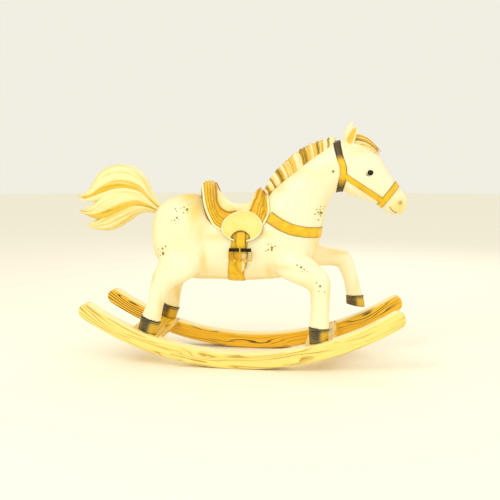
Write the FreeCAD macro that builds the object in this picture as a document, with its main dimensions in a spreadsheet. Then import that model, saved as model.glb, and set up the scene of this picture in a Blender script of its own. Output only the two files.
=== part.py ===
"""Carved wooden rocking horse on bow rockers, with leather saddle and bridle.

The horse faces +X, +Z is up, and Y = 0 is its middle plane. The origin is on the floor,
below the middle of the whole toy. The carving follows a squared pattern: its points are
in pattern squares, and the three square sizes in the sheet turn them into millimetres.
"""
import FreeCAD, Part
import math
import os

os.makedirs("parts", exist_ok=True)

doc = FreeCAD.newDocument("rocking_horse")
V = FreeCAD.Vector

# ---------------------------------------------------------------- driving sizes (mm)
SIZES = [
    ("square_length", 10.0, "pattern square along the horse"),
    ("square_height", 10.0, "pattern square upwards from the floor"),
    ("square_width", 10.0, "pattern square across the horse"),
    ("rocker_radius", 955.0, "radius of the running edge"),
    ("rocker_depth", 52.0, "depth of the bow board"),
    ("rocker_thickness", 50.0, "thickness of the bow board"),
    ("rocker_sweep", 33.0, "degrees from the lowest point to each end"),
    ("rocker_spacing", 290.0, "between the middles of the two bows"),
    ("rocker_centre_x", 32.0, "place of the lowest point"),
    ("rest_flat_length", 80.0, "planed flat under each bow"),
    ("slat_width", 96.0, "cross slat along the horse"),
    ("slat_thickness", 18.0, "cross slat"),
    ("slat_housing", 30.0, "depth of the blind housing in each bow"),
    ("slat_proud", 1.5, "slat top above the bow's top edge"),
    ("slat_screw_inset", 15.0, "screw from the slat's end"),
    ("slat_screw_pitch", 52.0, "between the two screws at one end"),
    ("screw_diameter", 5.0, "screw shank"),
    ("screw_head_diameter", 10.0, "countersunk head"),
    ("screw_length", 34.0, "screw"),
    ("hind_foot_x", -272.0, "middle of the hind hooves on their slat"),
    ("fore_foot_x", 288.0, "middle of the standing fore hoof on its slat"),
    ("foot_spread", 128.0, "hoof centre from the middle plane"),
    ("hoof_length", 62.0, "hoof sole along the horse"),
    ("hoof_width", 50.0, "hoof sole across"),
    ("bolt_diameter", 6.0, "hoof bolt"),
    ("bolt_grip", 46.0, "hoof bolt from the slat's underside upwards"),
    ("bolt_head_diameter", 13.0, "hoof bolt head"),
    ("bolt_head_height", 4.0, "hoof bolt head"),
    ("washer_diameter", 16.0, "hoof washer"),
    ("bolt_inset", 18.5, "hoof bolt from the middle of its hoof, towards the middle plane"),
    ("washer_thickness", 1.6, "hoof washer"),
    ("plank_thickness", 44.0, "top and bottom planks of the hollow body"),
    ("side_thickness", 38.0, "side planks of the hollow body, at the widest"),
    ("end_block_length", 110.0, "end blocks of the hollow body"),
    ("dowel_diameter", 14.0, "leg and neck dowels"),
    ("dowel_length", 70.0, "leg and neck dowels"),
    ("peg_diameter", 16.0, "tail peg"),
    ("peg_length", 70.0, "tail peg"),
    ("eye_diameter", 22.0, "glass eye"),
    ("mane_width", 34.0, "standing mane across the crest"),
    ("forelock_width", 30.0, "forelock across the brow"),
    ("skirt_thickness", 6.0, "saddle skirt leather and felt"),
    ("welt_width", 9.0, "welt along the skirt's edge"),
    ("welt_height", 3.0, "welt above the skirt"),
    ("strap_thickness", 4.0, "girth, breast strap and bridle"),
    ("strap_width", 20.0, "bridle straps"),
    ("billet_width", 28.0, "billet"),
    ("flap_gap", 1.0, "lifting flap above the billet"),
    ("flap_thickness", 4.0, "lifting flap"),
    ("flap_length", 134.0, "lifting flap along the horse"),
    ("flap_drop", 88.0, "lifting flap, seen from the side"),
    ("hinge_channel", 28.0, "diameter of the hollow beside each flap's hinge line"),
    ("seat_width", 112.0, "seat cushion across"),
    ("cantle_width", 148.0, "cantle across its foot"),
    ("pommel_width", 116.0, "pommel across its foot"),
    ("buckle_width", 56.0, "buckle outside width"),
    ("buckle_height", 34.0, "buckle between its two bars"),
    ("buckle_wire", 5.0, "buckle wire diameter"),
    ("lug_width", 6.0, "leather lug on the buckle's low bar"),
    ("lug_gap", 0.6, "lug beside the billet"),
    ("buckle_gap", 0.6, "buckle roller off the billet"),
    ("prong_wall", 2.2, "wall of the prong's eye"),
    ("prong_slot", 6.6, "gap between the two roller halves"),
    ("roller_end_gap", 0.4, "roller end from the buckle's side"),
    ("roller_diameter", 12.0, "buckle roller"),
    ("roller_clearance", 0.08, "roller bore over the bar, radial"),
    ("prong_wire", 4.6, "prong"),
    ("prong_clearance", 0.4, "prong from the bar and the roller"),
]
sheet = doc.addObject("Spreadsheet::Sheet", "Sizes")
for row, (alias, value, note) in enumerate(SIZES, start=1):
    sheet.set("A%d" % row, note)
    sheet.set("B%d" % row, str(value))
    sheet.setAlias("B%d" % row, alias)
doc.recompute()


def mm(alias):
    """Return one size from the sheet."""
    return float(getattr(sheet, alias))


def cell(alias):
    """Return the expression that names one size in the sheet."""
    return "Sizes." + alias


# ---------------------------------------------------------------- small helpers
RING_POINTS = 12


def at(x, z, y=0.0):
    """Turn a pattern point, in squares, into millimetres."""
    return V(x * mm("square_length"), y * mm("square_width"), z * mm("square_height"))


def bind(obj, **sizes):
    """Bind properties of one object to expressions."""
    for prop, expression in sizes.items():
        obj.setExpression(prop, expression)
    return obj


def turned(origin, along):
    """Return a placement at origin whose own Z axis points along a direction."""
    return FreeCAD.Placement(origin, FreeCAD.Rotation(V(0, 0, 1), along))


def rod(name, diameter, length, origin, along):
    """Make a round bar from origin, pointing along a direction."""
    bar = doc.addObject("Part::Cylinder", name)
    bind(bar, Radius="(%s) / 2" % diameter, Height=length)
    bar.Placement = turned(origin, along)
    return bar


def block(name, length, width, height, placement):
    """Make a box whose sizes are expressions."""
    box = doc.addObject("Part::Box", name)
    bind(box, Length=length, Width=width, Height=height)
    box.Placement = placement
    return box


def cut(name, base, tool):
    """Take one object away from another."""
    result = doc.addObject("Part::Cut", name)
    result.Base = base
    result.Tool = tool
    result.Refine = False
    return result


def cut_all(name, base, tools):
    """Take several objects away from one."""
    for index, tool in enumerate(tools, start=1):
        last = index == len(tools)
        base = cut(name if last else "%s_cut%d" % (name, index), base, tool)
    return base


def keep(name, base, tool):
    """Keep what two objects share."""
    result = doc.addObject("Part::Common", name)
    result.Base = base
    result.Tool = tool
    result.Refine = False
    return result


def join(name, pieces):
    """Fuse several objects into one."""
    result = doc.addObject("Part::MultiFuse", name)
    result.Shapes = pieces
    result.Refine = False
    return result


def group(name, pieces):
    """Put separate solids side by side under one name."""
    result = doc.addObject("Part::Compound", name)
    result.Links = pieces
    return result


def oval_ring(name, centre, along, half_length, half_width):
    """Make one smooth closed section: an oval about a centre, with its length along a line."""
    points = []
    for step in range(RING_POINTS):
        angle = 2 * math.pi * step / RING_POINTS
        points.append(along * (half_length * math.cos(angle))
                      + V(0, half_width * math.sin(angle), 0))
    curve = Part.BSplineCurve()
    curve.interpolate(points, PeriodicFlag=True)
    ring = doc.addObject("Part::Feature", name)
    ring.Shape = Part.Wire([curve.toShape()])
    ring.Placement = FreeCAD.Placement(centre, FreeCAD.Rotation())
    return ring


def oval(name, top, bottom, half_width, y, grow):
    """Make one carving section between two pattern points of the side view."""
    high, low = at(*top), at(*bottom)
    upward = high - low
    half_length = upward.Length / 2 + grow
    upward.normalize()
    centre = (high + low) * 0.5
    centre.y = y * mm("square_width")
    return oval_ring(name, centre, upward, half_length, half_width * mm("square_width") + grow)


def loft(name, rings):
    """Make a solid through closed sections."""
    body = doc.addObject("Part::Loft", name)
    body.Sections = rings
    body.Solid = True
    body.Ruled = False
    body.MaxDegree = 3
    return body


def carve(name, sections, side=1, grow=0.0):
    """Loft a carved form through its pattern sections (top, bottom, half width, y)."""
    rings = []
    for index, (top, bottom, half_width, y) in enumerate(sections, start=1):
        ring_name = "%s_section%d" % (name, index)
        rings.append(oval(ring_name, top, bottom, half_width, side * y, grow))
    return loft(name, rings)


def side_plate(name, runs, width):
    """Extrude a side outline, in pattern squares, across the middle plane.

    Each run is a list of points: two make a straight edge, more make a smooth curve.
    """
    edges = []
    for run in runs:
        points = [at(*point) for point in run]
        if len(points) == 2:
            edges.append(Part.LineSegment(points[0], points[1]).toShape())
            continue
        curve = Part.BSplineCurve()
        curve.interpolate(points)
        edges.append(curve.toShape())
    outline = doc.addObject("Part::Feature", name + "_outline")
    outline.Shape = Part.Face(Part.Wire(edges))
    plate = doc.addObject("Part::Extrusion", name)
    plate.Base = outline
    plate.DirMode = "Custom"
    plate.Dir = V(0, 1, 0)
    plate.Solid = True
    plate.Symmetric = True
    bind(plate, LengthFwd=width)
    return plate


finished = []


def piece(obj, label):
    """Name the finished piece and list it for writing."""
    obj.Label = label
    finished.append((label, obj))
    return obj


SIDES = (("right", -1), ("left", 1))
WIDE = "40 * Sizes.square_width"


# ---------------------------------------------------------------- rockers and slats
half_rest = mm("rest_flat_length") / 2
# planing the rest flat takes this much off the lowest point, so the bows stand lower by it
planed_off = mm("rocker_radius") - math.sqrt(mm("rocker_radius") ** 2 - half_rest ** 2)
bow_centre = V(mm("rocker_centre_x"), 0, mm("rocker_radius") - planed_off)


def bow_point(radius, angle):
    """Return the point of a bow at a radius and an angle from the lowest point."""
    return bow_centre + V(radius * math.sin(angle), 0, -radius * math.cos(angle))


class SlatPlace:
    """Where a cross slat lies on the bows: its angle, top centre and directions."""

    def __init__(self, foot_x):
        self.radius = mm("rocker_radius") - mm("rocker_depth") - mm("slat_proud")
        self.angle = math.asin((foot_x - mm("rocker_centre_x")) / self.radius)
        self.top = bow_point(self.radius, self.angle)
        self.along = V(math.cos(self.angle), 0, math.sin(self.angle))
        self.up = V(-math.sin(self.angle), 0, math.cos(self.angle))

    def point(self, along, y, up):
        """Return a point on or above the slat's top face."""
        spot = self.top + self.along * along + self.up * up
        spot.y = y
        return spot


REAR_SLAT = SlatPlace(mm("hind_foot_x"))
FRONT_SLAT = SlatPlace(mm("fore_foot_x"))


def bow(name, side):
    """Make one plain bow: part of a ring with rounded ends and a planed rest."""
    sweep = mm("rocker_sweep")
    ring = doc.addObject("Part::Cylinder", name + "_disc")
    bind(ring, Radius=cell("rocker_radius"), Height=cell("rocker_thickness"),
         Angle="2 * Sizes.rocker_sweep")
    hub = doc.addObject("Part::Cylinder", name + "_hub")
    bind(hub, Radius="Sizes.rocker_radius - Sizes.rocker_depth",
         Height=cell("rocker_thickness"))
    outer_y = side * mm("rocker_spacing") / 2 + mm("rocker_thickness") / 2
    centre = bow_centre + V(0, outer_y, 0)
    stand = FreeCAD.Rotation(V(1, 0, 0), 90)
    turn = stand.multiply(FreeCAD.Rotation(V(0, 0, 1), 270 - sweep))
    ring.Placement = FreeCAD.Placement(centre, turn)
    hub.Placement = FreeCAD.Placement(centre, stand)
    band = cut(name + "_band", ring, hub)
    ends = []
    for tip, angle in (("tail", -sweep), ("nose", sweep)):
        middle = bow_point(mm("rocker_radius") - mm("rocker_depth") / 2, math.radians(angle))
        middle.y = outer_y
        ends.append(rod("%s_%s_end" % (name, tip), cell("rocker_depth"),
                        cell("rocker_thickness"), middle, V(0, -1, 0)))
    whole = join(name + "_whole", [band] + ends)
    plane_corner = V(mm("rocker_centre_x") - mm("rest_flat_length"),
                     outer_y - 1.5 * mm("rocker_thickness"), -mm("rocker_depth"))
    plane = block(name + "_plane", "2 * Sizes.rest_flat_length", "2 * Sizes.rocker_thickness",
                  cell("rocker_depth"), FreeCAD.Placement(plane_corner, FreeCAD.Rotation()))
    return cut(name + "_planed", whole, plane)


def slat(name, place):
    """Make one cross slat."""
    span = mm("rocker_spacing") - mm("rocker_thickness") + 2 * mm("slat_housing")
    corner = place.point(-mm("slat_width") / 2, -span / 2, -mm("slat_thickness"))
    turn = FreeCAD.Rotation(V(0, 1, 0), -math.degrees(place.angle))
    width = "Sizes.rocker_spacing - Sizes.rocker_thickness + 2 * Sizes.slat_housing"
    return block(name, cell("slat_width"), width, cell("slat_thickness"),
                 FreeCAD.Placement(corner, turn))


def slat_end_spots(place):
    """Return the screw places on the slat's top face."""
    span = mm("rocker_spacing") - mm("rocker_thickness") + 2 * mm("slat_housing")
    spots = []
    for y in (-1, 1):
        for along in (-0.5, 0.5):
            spots.append(place.point(along * mm("slat_screw_pitch"),
                                     y * (span / 2 - mm("slat_screw_inset")), 0))
    return spots


def countersunk_screw(name, spot, up):
    """Make one screw whose flat head is level with the slat's top face."""
    head = doc.addObject("Part::Cone", name + "_head")
    bind(head, Radius1="Sizes.screw_diameter / 2", Radius2="Sizes.screw_head_diameter / 2",
         Height="(Sizes.screw_head_diameter - Sizes.screw_diameter) / 2")
    depth = (mm("screw_head_diameter") - mm("screw_diameter")) / 2
    head.Placement = turned(spot - up * depth, up)
    shank = rod(name + "_shank", cell("screw_diameter"),
                "Sizes.screw_length - (Sizes.screw_head_diameter - Sizes.screw_diameter) / 2",
                spot - up * depth, up * -1)
    return join(name, [head, shank])


rear_blank = slat("rear_slat_blank", REAR_SLAT)
front_blank = slat("front_slat_blank", FRONT_SLAT)
screws = []
for slat_name, slat_place in (("rear", REAR_SLAT), ("front", FRONT_SLAT)):
    for number, screw_spot in enumerate(slat_end_spots(slat_place), start=1):
        screws.append(countersunk_screw("%s_screw%d" % (slat_name, number), screw_spot,
                                        slat_place.up))
screw_group = piece(group("slat_screws", screws), "slat_screws")

for side_name, side_sign in SIDES:
    planed = bow(side_name + "_bow", side_sign)
    piece(cut_all(side_name + "_rocker_cut", planed, [rear_blank, front_blank, screw_group]),
          side_name + "_rocker")


# ---------------------------------------------------------------- hooves and their bolts
def standing_foot(side):
    """Return the middle of a standing hoof across the horse."""
    return side * mm("foot_spread")


FEET = (
    ("right_hind", REAR_SLAT, -1),
    ("left_hind", REAR_SLAT, 1),
    ("right_fore", FRONT_SLAT, -1),
)
bolts = []
washers = []
bolt_tools = []
for foot_name, foot_place, foot_side in FEET:
    bolt_y = standing_foot(foot_side) - foot_side * mm("bolt_inset")
    under = foot_place.point(0, bolt_y, -mm("slat_thickness"))
    low = under - foot_place.up * mm("washer_thickness")
    disc = rod(foot_name + "_washer_disc", cell("washer_diameter"), cell("washer_thickness"),
               low, foot_place.up)
    shank = rod(foot_name + "_bolt_shank", cell("bolt_diameter"),
                "Sizes.bolt_grip + Sizes.washer_thickness", low, foot_place.up)
    head = rod(foot_name + "_bolt_head", cell("bolt_head_diameter"), cell("bolt_head_height"),
               low, foot_place.up * -1)
    washers.append(cut(foot_name + "_washer", disc, shank))
    bolts.append(join(foot_name + "_bolt", [shank, head]))
    bolt_tools.append(shank)
bolt_group = piece(group("hoof_bolts", bolts), "hoof_bolts")
piece(group("hoof_washers", washers), "hoof_washers")
for slat_name, slat_blank, tools in (
    ("rear_cross_slat", rear_blank, bolt_tools[:2]),
    ("front_cross_slat", front_blank, bolt_tools[2:]),
):
    piece(cut_all(slat_name + "_cut", slat_blank, [screw_group] + tools), slat_name)


def sole(name, centre, along):
    """Make the sole section of a hoof, flat on its slat."""
    return oval_ring(name, centre, along, mm("hoof_length") / 2, mm("hoof_width") / 2)


# ---------------------------------------------------------------- carving pattern
TRUNK = [
    ((-28.0, 45.6), (-28.0, 38.6), 2.8, 0),
    ((-26.2, 50.5), (-26.2, 32.4), 7.0, 0),
    ((-21.5, 53.6), (-21.5, 28.2), 9.2, 0),
    ((-14.0, 54.8), (-14.0, 26.4), 10.2, 0),
    ((-6.0, 52.4), (-6.0, 26.4), 9.8, 0),
    ((2.0, 48.8), (2.0, 26.2), 9.0, 0),
    ((9.0, 50.0), (9.0, 26.6), 9.2, 0),
    ((16.0, 52.0), (16.0, 27.4), 9.4, 0),
    ((22.5, 51.0), (22.5, 30.4), 8.2, 0),
    ((26.4, 46.0), (26.4, 34.4), 4.8, 0),
]
NECK = [
    ((9.0, 47.0), (26.8, 35.8), 8.9, 0),
    ((9.8, 51.4), (27.8, 38.9), 8.8, 0),
    ((11.6, 55.4), (28.5, 42.0), 8.2, 0),
    ((15.0, 58.6), (28.9, 45.6), 7.1, 0),
    ((19.0, 61.8), (29.8, 50.0), 6.0, 0),
    ((24.0, 65.8), (31.2, 53.4), 5.3, 0),
    ((28.6, 69.0), (32.8, 55.6), 4.9, 0),
]
HEAD = [
    NECK[-1],
    ((33.8, 72.2), (35.0, 56.0), 4.9, 0),
    ((39.0, 71.8), (37.6, 54.8), 5.6, 0),
    ((43.4, 69.8), (40.6, 53.9), 5.8, 0),
    ((47.0, 66.8), (43.8, 53.0), 5.2, 0),
    ((50.0, 62.0), (46.6, 51.6), 4.2, 0),
    ((53.0, 57.6), (49.4, 49.6), 3.4, 0),
    ((55.2, 55.0), (52.4, 48.4), 2.7, 0),
    ((56.1, 53.4), (54.3, 48.8), 1.8, 0),
]
HIND_LEG = [
    ((-23.0, 39.0), (-9.4, 37.0), 4.2, 4.6),
    ((-24.8, 32.6), (-10.4, 30.4), 4.6, 6.8),
    ((-26.2, 28.4), (-14.2, 27.0), 4.2, 8.4),
    ((-26.8, 24.4), (-19.2, 24.4), 3.0, 10.0),
    ((-27.2, 20.6), (-21.6, 20.2), 2.2, 11.5),
    ((-28.9, 15.7), (-22.8, 13.6), 2.4, 12.8),
]
FORE_LEG = [
    ((18.4, 39.0), (11.8, 31.4), 4.4, 4.8),
    ((23.6, 36.6), (16.8, 28.0), 4.2, 7.2),
    ((28.4, 33.0), (21.8, 26.4), 3.6, 9.2),
    ((32.0, 28.4), (25.4, 24.8), 3.0, 11.0),
    ((32.0, 21.0), (26.0, 20.6), 2.3, 12.2),
    ((32.0, 13.0), (25.7, 13.6), 2.4, 12.8),
]
RAISED_LEG = [
    ((21.0, 42.0), (18.6, 31.4), 4.2, 4.8),
    ((26.4, 38.4), (24.4, 30.2), 3.3, 7.4),
    ((31.4, 36.8), (30.4, 30.4), 2.6, 8.6),
    ((36.6, 35.4), (33.4, 30.0), 2.5, 9.0),
    ((39.0, 31.4), (34.4, 28.4), 2.2, 9.0),
    ((40.4, 26.6), (35.6, 25.4), 2.0, 9.0),
    ((42.2, 20.5), (36.6, 20.3), 2.2, 9.0),
]
RAISED_HOOF = [
    ((42.2, 20.5), (36.6, 20.3), 2.2, 9.0),
    ((42.9, 16.5), (36.6, 17.6), 2.4, 9.0),
]
TAIL = [
    ((-25.0, 50.6), (-25.6, 47.6), 1.2, 0),
    ((-28.8, 54.8), (-29.6, 48.6), 2.2, 0),
    ((-33.2, 61.0), (-34.8, 48.9), 3.2, 0),
    ((-39.2, 63.6), (-38.8, 46.0), 3.8, 0),
    ((-45.6, 61.4), (-43.4, 43.0), 3.8, 0),
    ((-50.4, 56.8), (-48.4, 41.8), 3.2, 0),
    ((-53.4, 54.4), (-52.6, 43.2), 2.4, 0),
    ((-56.1, 53.6), (-55.4, 47.2), 1.2, 0),
]
EAR = [
    ((35.0, 70.0), (38.2, 70.0), 1.1, 2.9),
    ((35.8, 74.2), (38.8, 73.6), 1.0, 3.0),
    ((38.4, 78.6), (39.2, 78.4), 0.3, 3.1),
]
EYE = (43.9, 62.0)

# the trunk stops at the slanting joint face on which the neck block is glued
joint_low = at(*NECK[0][1])
joint_high = at(*NECK[0][0])
joint_run = joint_low - joint_high
joint_angle = math.degrees(math.atan2(-joint_run.z, joint_run.x))
joint_corner = joint_high - joint_run * 2
joint_corner.y = -20 * mm("square_width")
above_joint = block("above_joint", "90 * Sizes.square_length", "40 * Sizes.square_width",
                    "60 * Sizes.square_height",
                    FreeCAD.Placement(joint_corner, FreeCAD.Rotation(V(0, 1, 0), joint_angle)))
trunk_form = carve("trunk_form", TRUNK)
trunk_blank = cut("trunk_blank", trunk_form, above_joint)
neck_form = carve("neck_form", NECK)
head_form = carve("head_form", HEAD)


def level(*aliases):
    """Return how far a surface lies outside the carving."""
    return sum(mm(alias) for alias in aliases)


SKIRT_TOP = level("skirt_thickness")
STRAP_TOP = level("strap_thickness")
BILLET_TOP = level("skirt_thickness", "strap_thickness")
FLAP_UNDER = level("skirt_thickness", "strap_thickness", "flap_gap")
FLAP_TOP = level("skirt_thickness", "strap_thickness", "flap_gap", "flap_thickness")
WELT_TOP = level("skirt_thickness", "welt_height")

trunk_under_skirt = carve("trunk_skirt_top", TRUNK, grow=SKIRT_TOP)
trunk_under_welt = carve("trunk_welt_top", TRUNK, grow=WELT_TOP)
trunk_strap = carve("trunk_strap_top", TRUNK, grow=STRAP_TOP)
trunk_billet = carve("trunk_billet_top", TRUNK, grow=BILLET_TOP)
trunk_flap_under = carve("trunk_flap_under", TRUNK, grow=FLAP_UNDER)
trunk_flap_top = carve("trunk_flap_top", TRUNK, grow=FLAP_TOP)
neck_strap = carve("neck_strap_top", NECK, grow=STRAP_TOP)
head_strap = carve("head_strap_top", HEAD, grow=STRAP_TOP)


def trunk_half_width(x, z, grow):
    """Return how wide the trunk is from its middle plane at a point of the side view."""
    stations = [(top[0], top[1], bottom[1], half) for top, bottom, half, _ in TRUNK]
    square = mm("square_length")
    for first, second in zip(stations, stations[1:]):
        if first[0] * square <= x <= second[0] * square:
            share = (x / square - first[0]) / (second[0] - first[0])
            top, bottom, half = (a + (b - a) * share for a, b in zip(first[1:], second[1:]))
            middle = (top + bottom) / 2 * mm("square_height")
            tall = (top - bottom) / 2 * mm("square_height") + grow
            wide = half * mm("square_width") + grow
            return wide * math.sqrt(max(0.0, 1 - ((z - middle) / tall) ** 2))
    return 0.0


# ---------------------------------------------------------------- dowels and pegs
def dowel(name, middle, along):
    """Make one dowel about its middle."""
    direction = V(along)
    direction.normalize()
    start = middle - direction * (mm("dowel_length") / 2)
    return rod(name, cell("dowel_diameter"), cell("dowel_length"), start, direction)


leg_dowels = []
for side_name, side_sign in SIDES:
    leg_dowels.append(dowel(side_name + "_hip_dowel", at(-17.4, 33.0, side_sign * 5.6),
                            V(-0.2, side_sign * 0.7, -0.7)))
leg_dowels.append(dowel("right_shoulder_dowel", at(19.4, 34.6, -5.4), V(0.6, -0.6, -0.5)))
leg_dowels.append(dowel("left_shoulder_dowel", at(21.6, 35.4, 5.4), V(0.8, 0.6, -0.1)))
leg_dowel_group = piece(group("leg_dowels", leg_dowels), "leg_dowels")
neck_dowels = [
    dowel("neck_dowel_low", at(23.4, 49.0), V(0.45, 0, 0.9)),
    dowel("neck_dowel_high", at(15.6, 52.8), V(0.45, 0, 0.9)),
    dowel("head_dowel_low", at(31.6, 59.4), V(1, 0, 0.3)),
    dowel("head_dowel_high", at(29.6, 65.8), V(1, 0, 0.3)),
]
neck_dowel_group = piece(group("neck_dowels", neck_dowels), "neck_dowels")
peg_along = V(-0.92, 0, 0.4)
tail_peg = piece(rod("tail_peg_rod", cell("peg_diameter"), cell("peg_length"),
                     at(-23.6, 48.4), peg_along), "tail_peg")

# ---------------------------------------------------------------- hollow body
bored_trunk = cut_all("bored_trunk", trunk_blank,
                      [leg_dowel_group, neck_dowel_group, tail_peg])
BODY_TAIL_END = -29.0
BODY_CHEST_END = 29.0
BODY_FLOOR = 24.0
BODY_ROOF = 57.0
tail_x = at(BODY_TAIL_END, 0).x
chest_x = at(BODY_CHEST_END, 0).x
floor_z = at(0, BODY_FLOOR).z
roof_z = at(0, BODY_ROOF).z
roof_plank_z = at(0, 48.8).z - mm("plank_thickness")
floor_plank_z = at(0, 26.2).z + mm("plank_thickness")
inner_y = 9.8 * mm("square_width") - mm("side_thickness")
rear_end = at(-28.0, 0).x + mm("end_block_length")
front_end = at(26.4, 0).x - mm("end_block_length")
LEVEL = FreeCAD.Rotation()


def body_block(label, low, high):
    """Cut one block of the hollow body out of the bored trunk."""
    box = block(label + "_box", "%.6f" % (high.x - low.x), "%.6f" % (high.y - low.y),
                "%.6f" % (high.z - low.z), FreeCAD.Placement(low, LEVEL))
    return piece(keep(label + "_cut", bored_trunk, box), label)


outer_y = 13.0 * mm("square_width")
body_block("body_rear_block", V(tail_x, -outer_y, floor_z), V(rear_end, outer_y, roof_z))
body_block("body_front_block", V(front_end, -outer_y, floor_z), V(chest_x, outer_y, roof_z))
body_block("body_top_plank", V(rear_end, -outer_y, roof_plank_z),
           V(front_end, outer_y, roof_z))
body_block("body_bottom_plank", V(rear_end, -outer_y, floor_z),
           V(front_end, outer_y, floor_plank_z))
body_block("body_right_side", V(rear_end, -outer_y, floor_plank_z),
           V(front_end, -inner_y, roof_plank_z))
body_block("body_left_side", V(rear_end, inner_y, floor_plank_z),
           V(front_end, outer_y, roof_plank_z))

# ---------------------------------------------------------------- neck, head, eyes, ears
piece(cut("neck_cut", neck_form, neck_dowel_group), "neck_block")
eyes = []
for side_name, side_sign in SIDES:
    eye = doc.addObject("Part::Sphere", side_name + "_eye_ball")
    bind(eye, Radius="Sizes.eye_diameter / 2")
    eye.Placement = FreeCAD.Placement(at(EYE[0], EYE[1], side_sign * 4.5), LEVEL)
    eyes.append(piece(eye, side_name + "_eye"))
piece(cut_all("head_cut", head_form, [neck_dowel_group] + eyes), "head_block")
for side_name, side_sign in SIDES:
    ear = carve(side_name + "_ear_blank", EAR, side=side_sign)
    piece(cut(side_name + "_ear_cut", ear, head_form), side_name + "_ear")

# ---------------------------------------------------------------- legs and hooves
LEGS = (
    ("right_hind", HIND_LEG, -1, REAR_SLAT),
    ("left_hind", HIND_LEG, 1, REAR_SLAT),
    ("right_fore", FORE_LEG, -1, FRONT_SLAT),
    ("left_fore", RAISED_LEG, 1, None),
)
for leg_name, sections, leg_side, place in LEGS:
    blank = carve(leg_name + "_leg_blank", sections, side=leg_side)
    bolt_hole = [bolt_group] if place else []
    wood = [trunk_blank] if place is REAR_SLAT else [trunk_blank, neck_form]
    piece(cut_all(leg_name + "_leg_cut", blank, wood + [leg_dowel_group] + bolt_hole),
          leg_name + "_leg")
    if place is None:
        piece(carve(leg_name + "_hoof_blank", RAISED_HOOF, side=leg_side), leg_name + "_hoof")
        continue
    top, bottom, half_width, y = sections[-1]
    coronet = oval(leg_name + "_coronet", top, bottom, half_width, leg_side * y, 0.0)
    # the sole runs the same way round as the coronet
    forward = 1 if (at(*top) - at(*bottom)).dot(place.along) > 0 else -1
    ground = sole(leg_name + "_sole", place.point(0, standing_foot(leg_side), 0),
                  place.along * forward)
    hoof = loft(leg_name + "_hoof_blank", [coronet, ground])
    piece(cut(leg_name + "_hoof_cut", hoof, bolt_group), leg_name + "_hoof")

# ---------------------------------------------------------------- tail, mane, forelock
tail_blank = carve("tail_blank", TAIL)
piece(cut_all("tail_cut", tail_blank, [trunk_blank, tail_peg]), "tail_hair")
MANE = [
    [(9.4, 57.0), (11.7, 61.3), (16.6, 66.6), (23.1, 71.3), (28.4, 73.2), (31.6, 74.0)],
    [(31.6, 74.0), (31.8, 70.0)],
    [(31.8, 70.0), (27.0, 65.4), (19.0, 59.4), (12.4, 53.6)],
    [(12.4, 53.6), (9.4, 57.0)],
]
mane_plate = side_plate("mane_plate", MANE, cell("mane_width"))
piece(cut_all("mane_cut", mane_plate, [neck_form, head_form]), "mane")
FORELOCK = [
    [(38.0, 73.6), (40.6, 74.0), (43.4, 72.6), (46.2, 70.2), (48.2, 67.8)],
    [(48.2, 67.8), (47.4, 66.4)],
    [(47.4, 66.4), (43.0, 69.6), (38.8, 71.4)],
    [(38.8, 71.4), (38.0, 73.6)],
]
forelock_plate = side_plate("forelock_plate", FORELOCK, cell("forelock_width"))
piece(cut("forelock_cut", forelock_plate, head_form), "forelock")


# ---------------------------------------------------------------- saddle
SADDLE_MIDDLE = (1.6, 51.0)
SKIRT_EDGE = [(-9.9, 55.0), (-9.3, 51.4), (-7.9, 47.5), (-4.2, 43.8), (2.6, 42.6),
              (8.5, 43.5), (10.9, 45.7), (12.1, 48.1), (12.5, 51.5)]
SADDLE_ROOF = 60.0


def inset(point, distance):
    """Move a pattern point towards the saddle's middle by a distance in squares."""
    run = SADDLE_MIDDLE[0] - point[0]
    rise = SADDLE_MIDDLE[1] - point[1]
    share = distance / math.hypot(run, rise)
    return (point[0] + run * share, point[1] + rise * share)


def skirt_runs(distance, roof):
    """Return the skirt's side outline, drawn in by a distance in squares, below a roof."""
    edge = [inset(point, distance) for point in SKIRT_EDGE]
    rear_top = (edge[0][0], roof)
    front_top = (edge[-1][0], roof)
    return [[rear_top, edge[0]], edge, [edge[-1], front_top], [front_top, rear_top]]


skirt_plate = side_plate("skirt_plate", skirt_runs(0.0, SADDLE_ROOF), WIDE)
skirt_shell = keep("skirt_shell", skirt_plate, trunk_under_skirt)
piece(cut_all("skirt_cut", skirt_shell, [above_joint, trunk_form]),
      "saddle_skirt")

SEAT_REAR = [(-2.0, 49.6), (-4.9, 51.7), (-6.4, 54.6), (-7.3, 58.6)]
SEAT_FRONT = [(7.3, 56.0), (6.9, 53.2), (5.9, 51.0), (4.2, 49.6)]
SEAT = [
    [(-6.4, 58.6), (-5.6, 55.6), (-4.2, 53.0), (-1.8, 51.1), (0.9, 50.5), (3.7, 50.9),
     (5.1, 51.9), (6.0, 53.5), (6.4, 56.0)],
    [(6.4, 56.0), (7.3, 56.0)],
    SEAT_FRONT,
    [(4.2, 49.6), (-2.0, 49.6)],
    SEAT_REAR,
    [(-7.3, 58.6), (-6.4, 58.6)],
]
CANTLE = [
    [(-11.9, 49.6), (-11.9, 56.8)],
    [(-11.9, 56.8), (-11.3, 58.6), (-10.1, 59.2), (-8.2, 59.2), (-7.3, 58.6)],
    SEAT_REAR[::-1],
    [(-2.0, 49.6), (-11.9, 49.6)],
]
POMMEL = [
    [(4.2, 49.6), (4.2, 48.6)],
    [(4.2, 48.6), (11.6, 48.6)],
    [(11.6, 48.6), (11.6, 52.0)],
    [(11.6, 52.0), (9.8, 56.5)],
    [(9.8, 56.5), (8.9, 57.1), (7.9, 57.0), (7.3, 56.0)],
    SEAT_FRONT,
]


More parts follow.
